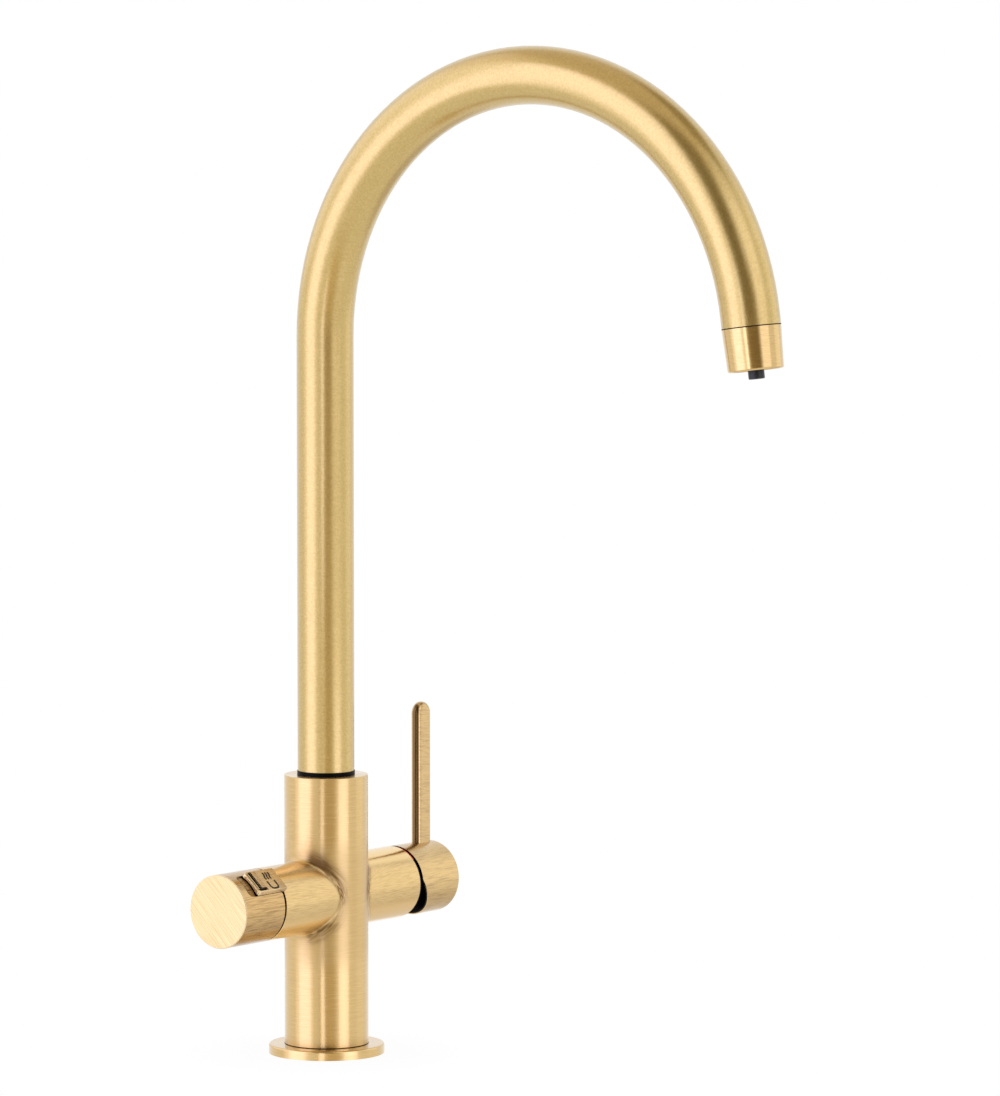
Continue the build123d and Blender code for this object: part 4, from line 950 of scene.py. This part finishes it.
def turned_to_tap(place, height=TAP_MIDDLE.z):
    """Rotation that turns a lamp or a card from its place to this height on the tap."""
    aim = Vector((TAP_MIDDLE.x, TAP_MIDDLE.y, height))
    return (aim - place).to_track_quat("-Z", "Y").to_euler()


def shown_rays(start):
    """1 for rays that show the backdrop: seen directly, in metal or through glass."""
    camera = start.node("LightPath", output="Is Camera Ray")
    return camera.larger(camera.other("Is Glossy Ray")).larger(camera.other("Is Transmission Ray"))


def add_world():
    """Even light all round, which looks white where it is seen."""
    world = bpy.data.worlds.new("studio")
    world.use_nodes = True
    world.node_tree.nodes.clear()
    start = Wire(world.node_tree)
    strength = AMBIENT + (1 - AMBIENT) * shown_rays(start)
    light = start.node("Background", {}, {"Color": WHITE, "Strength": strength})
    start.node("OutputWorld", {}, {"Surface": light})
    bpy.context.scene.world = world


def add_stage_piece(name, half_width, half_height, shader_of, level=0.0):
    """A flat rectangle of the studio with its own shader."""
    material, start = new_finish(name)
    start.node("OutputMaterial", {}, {"Surface": shader_of(start)})
    signs = ((-1, -1), (1, -1), (1, 1), (-1, 1))
    corners = [(sx * half_width, sy * half_height, level) for sx, sy in signs]
    mesh = bpy.data.meshes.new(name)
    mesh.from_pydata(corners, [], [(0, 1, 2, 3)])
    mesh.materials.append(material)
    piece = bpy.data.objects.new(name, mesh)
    piece.visible_shadow = False
    bpy.context.scene.collection.objects.link(piece)
    return piece


def add_floor():
    """A white floor with a faint shade round the tap's foot."""

    def shader(start):
        plain = start.node("BsdfDiffuse", {}, {"Color": FLOOR_COLOUR})
        glow = start.node("Emission", {}, {"Color": WHITE, "Strength": 1.0})
        x, y, _ = millimetres(start)
        near = 1 - polar(x, y).rise(*FLOOR_SHADE_FADE)
        share = shown_rays(start) * (1 - FLOOR_SHADE * near)
        return start.node("MixShader", {}, {0: share, 1: plain, 2: glow})

    floor = add_stage_piece("floor", FLOOR_SIZE / 2, FLOOR_SIZE / 2, shader, level=-FLOOR_DROP)
    floor.visible_glossy = False


def add_lamp(name, place, span, radiance, colour, distance):
    """A rectangular lamp turned to the tap, as bright as a surface of this radiance."""
    lamp = bpy.data.lights.new(name, "AREA")
    lamp.shape = "RECTANGLE"
    lamp.size, lamp.size_y = spanned(span[0], distance), spanned(span[1], distance)
    lamp.energy = radiance * math.pi * lamp.size * lamp.size_y
    lamp.color = colour
    softbox = bpy.data.objects.new(name, lamp)
    softbox.location = place
    softbox.rotation_euler = turned_to_tap(place)
    softbox.visible_camera = False
    bpy.context.scene.collection.objects.link(softbox)
    return softbox


def add_softbox(name, angle, lift, span, radiance, colour=(1, 1, 1)):
    """A lamp at the edge of the studio, with its span in degrees."""
    add_lamp(name, around(angle, lift), span, radiance, colour, STUDIO_RADIUS)


def add_gridded(name, angle, lift, span, radiance, colour, distance):
    """A small lamp close to the tap, level and behind a grid, so that it shows mostly on the column."""
    softbox = add_lamp(name, around(angle, lift, distance), span, radiance, colour, distance)
    softbox.rotation_euler = turned_to_tap(softbox.location, softbox.location.z)
    softbox.data.spread = GRID_SPREAD


def add_card(name, angle, lift, span, soft, colour, top=None, fade=(-1, 1)):
    """A card with soft edges, turned to the tap, that shows in the metal and not to the camera.

    Its colour goes over to the top one between the heights of fade, where -1 is its foot and 1 its top.
    """
    half_width, half_height = spanned(span[0]) / 2, spanned(span[1]) / 2

    def shader(start):
        x, y, _ = millimetres(start)
        across = abs(x) * (MM / half_width)
        height = y * (MM / half_height)
        edge = (1 - across.rise(1 - soft[0], 1)) * (1 - abs(height).rise(1 - soft[1], 1))
        shown = tint(start, height.rise(*fade), colour, top or colour)
        glow = start.node("Emission", {}, {"Color": shown, "Strength": 1.0})
        return start.node("MixShader", {}, {0: edge, 1: start.node("BsdfTransparent"), 2: glow})

    card = add_stage_piece(name, half_width, half_height, shader)
    card.location = around(angle, lift)
    card.rotation_euler = turned_to_tap(card.location)
    card.visible_camera = False
    card.visible_diffuse = False


def add_studio():
    """White surroundings, lamps, and warm cards that show as darker bands in the brass."""
    add_world()
    add_floor()
    add_softbox("softbox_left", -63, 12, (38, 70), 0.6, (1, 1.03, 1.85))
    add_softbox("softbox_left_wide", -66, 12, (58, 80), 0.35, (1, 1, 1.5))
    add_softbox("softbox_left_back", -118, 30, (36, 50), 0.4, (1, 1, 1.3))
    add_gridded("softbox_right_near", 48, -20, (30, 26), 0.17, (1, 1, 1.5), distance=0.5)
    add_softbox("softbox_right_high", 47, 24, (34, 48), 0.5, (1, 1, 1.4))
    add_softbox("softbox_side", 106, 14, (30, 46), 0.27)
    add_gridded("strip_near", -14, -22, (10, 22), 0.22, (1, 1.1, 1.6), distance=0.6)
    add_gridded("strip_high", -15, 13, (10, 28), 0.23, (1, 1.1, 1.6), distance=0.6)
    add_card(
        "card_front",
        3,
        -2,
        (56, 60),
        soft=(0.45, 0.3),
        colour=(0.8, 0.67, 0.47, 1),
        top=(0.24, 0.185, 0.095, 1),
        fade=(-0.17, 0.22),
    )
    add_card(
        "card_high",
        -8,
        38,
        (44, 70),
        soft=(0.4, 0.25),
        colour=(0.2, 0.16, 0.09, 1),
        top=(0.3, 0.25, 0.15, 1),
    )
    add_card("card_right_top", 112, 62, (40, 30), soft=(0.4, 0.4), colour=(0.4, 0.33, 0.2, 1))
    add_card("card_top", -100, 80, (84, 84), soft=(0.3, 0.3), colour=(0.8, 0.71, 0.58, 1))
    add_card("card_below", 142, -42, (64, 40), soft=(0.4, 0.4), colour=(0.74, 0.7, 0.65, 1))
    bpy.context.scene.view_settings.view_transform = "Standard"


dress_nodes()
add_mark()
add_thread()
add_spring()
add_camera()
add_studio()
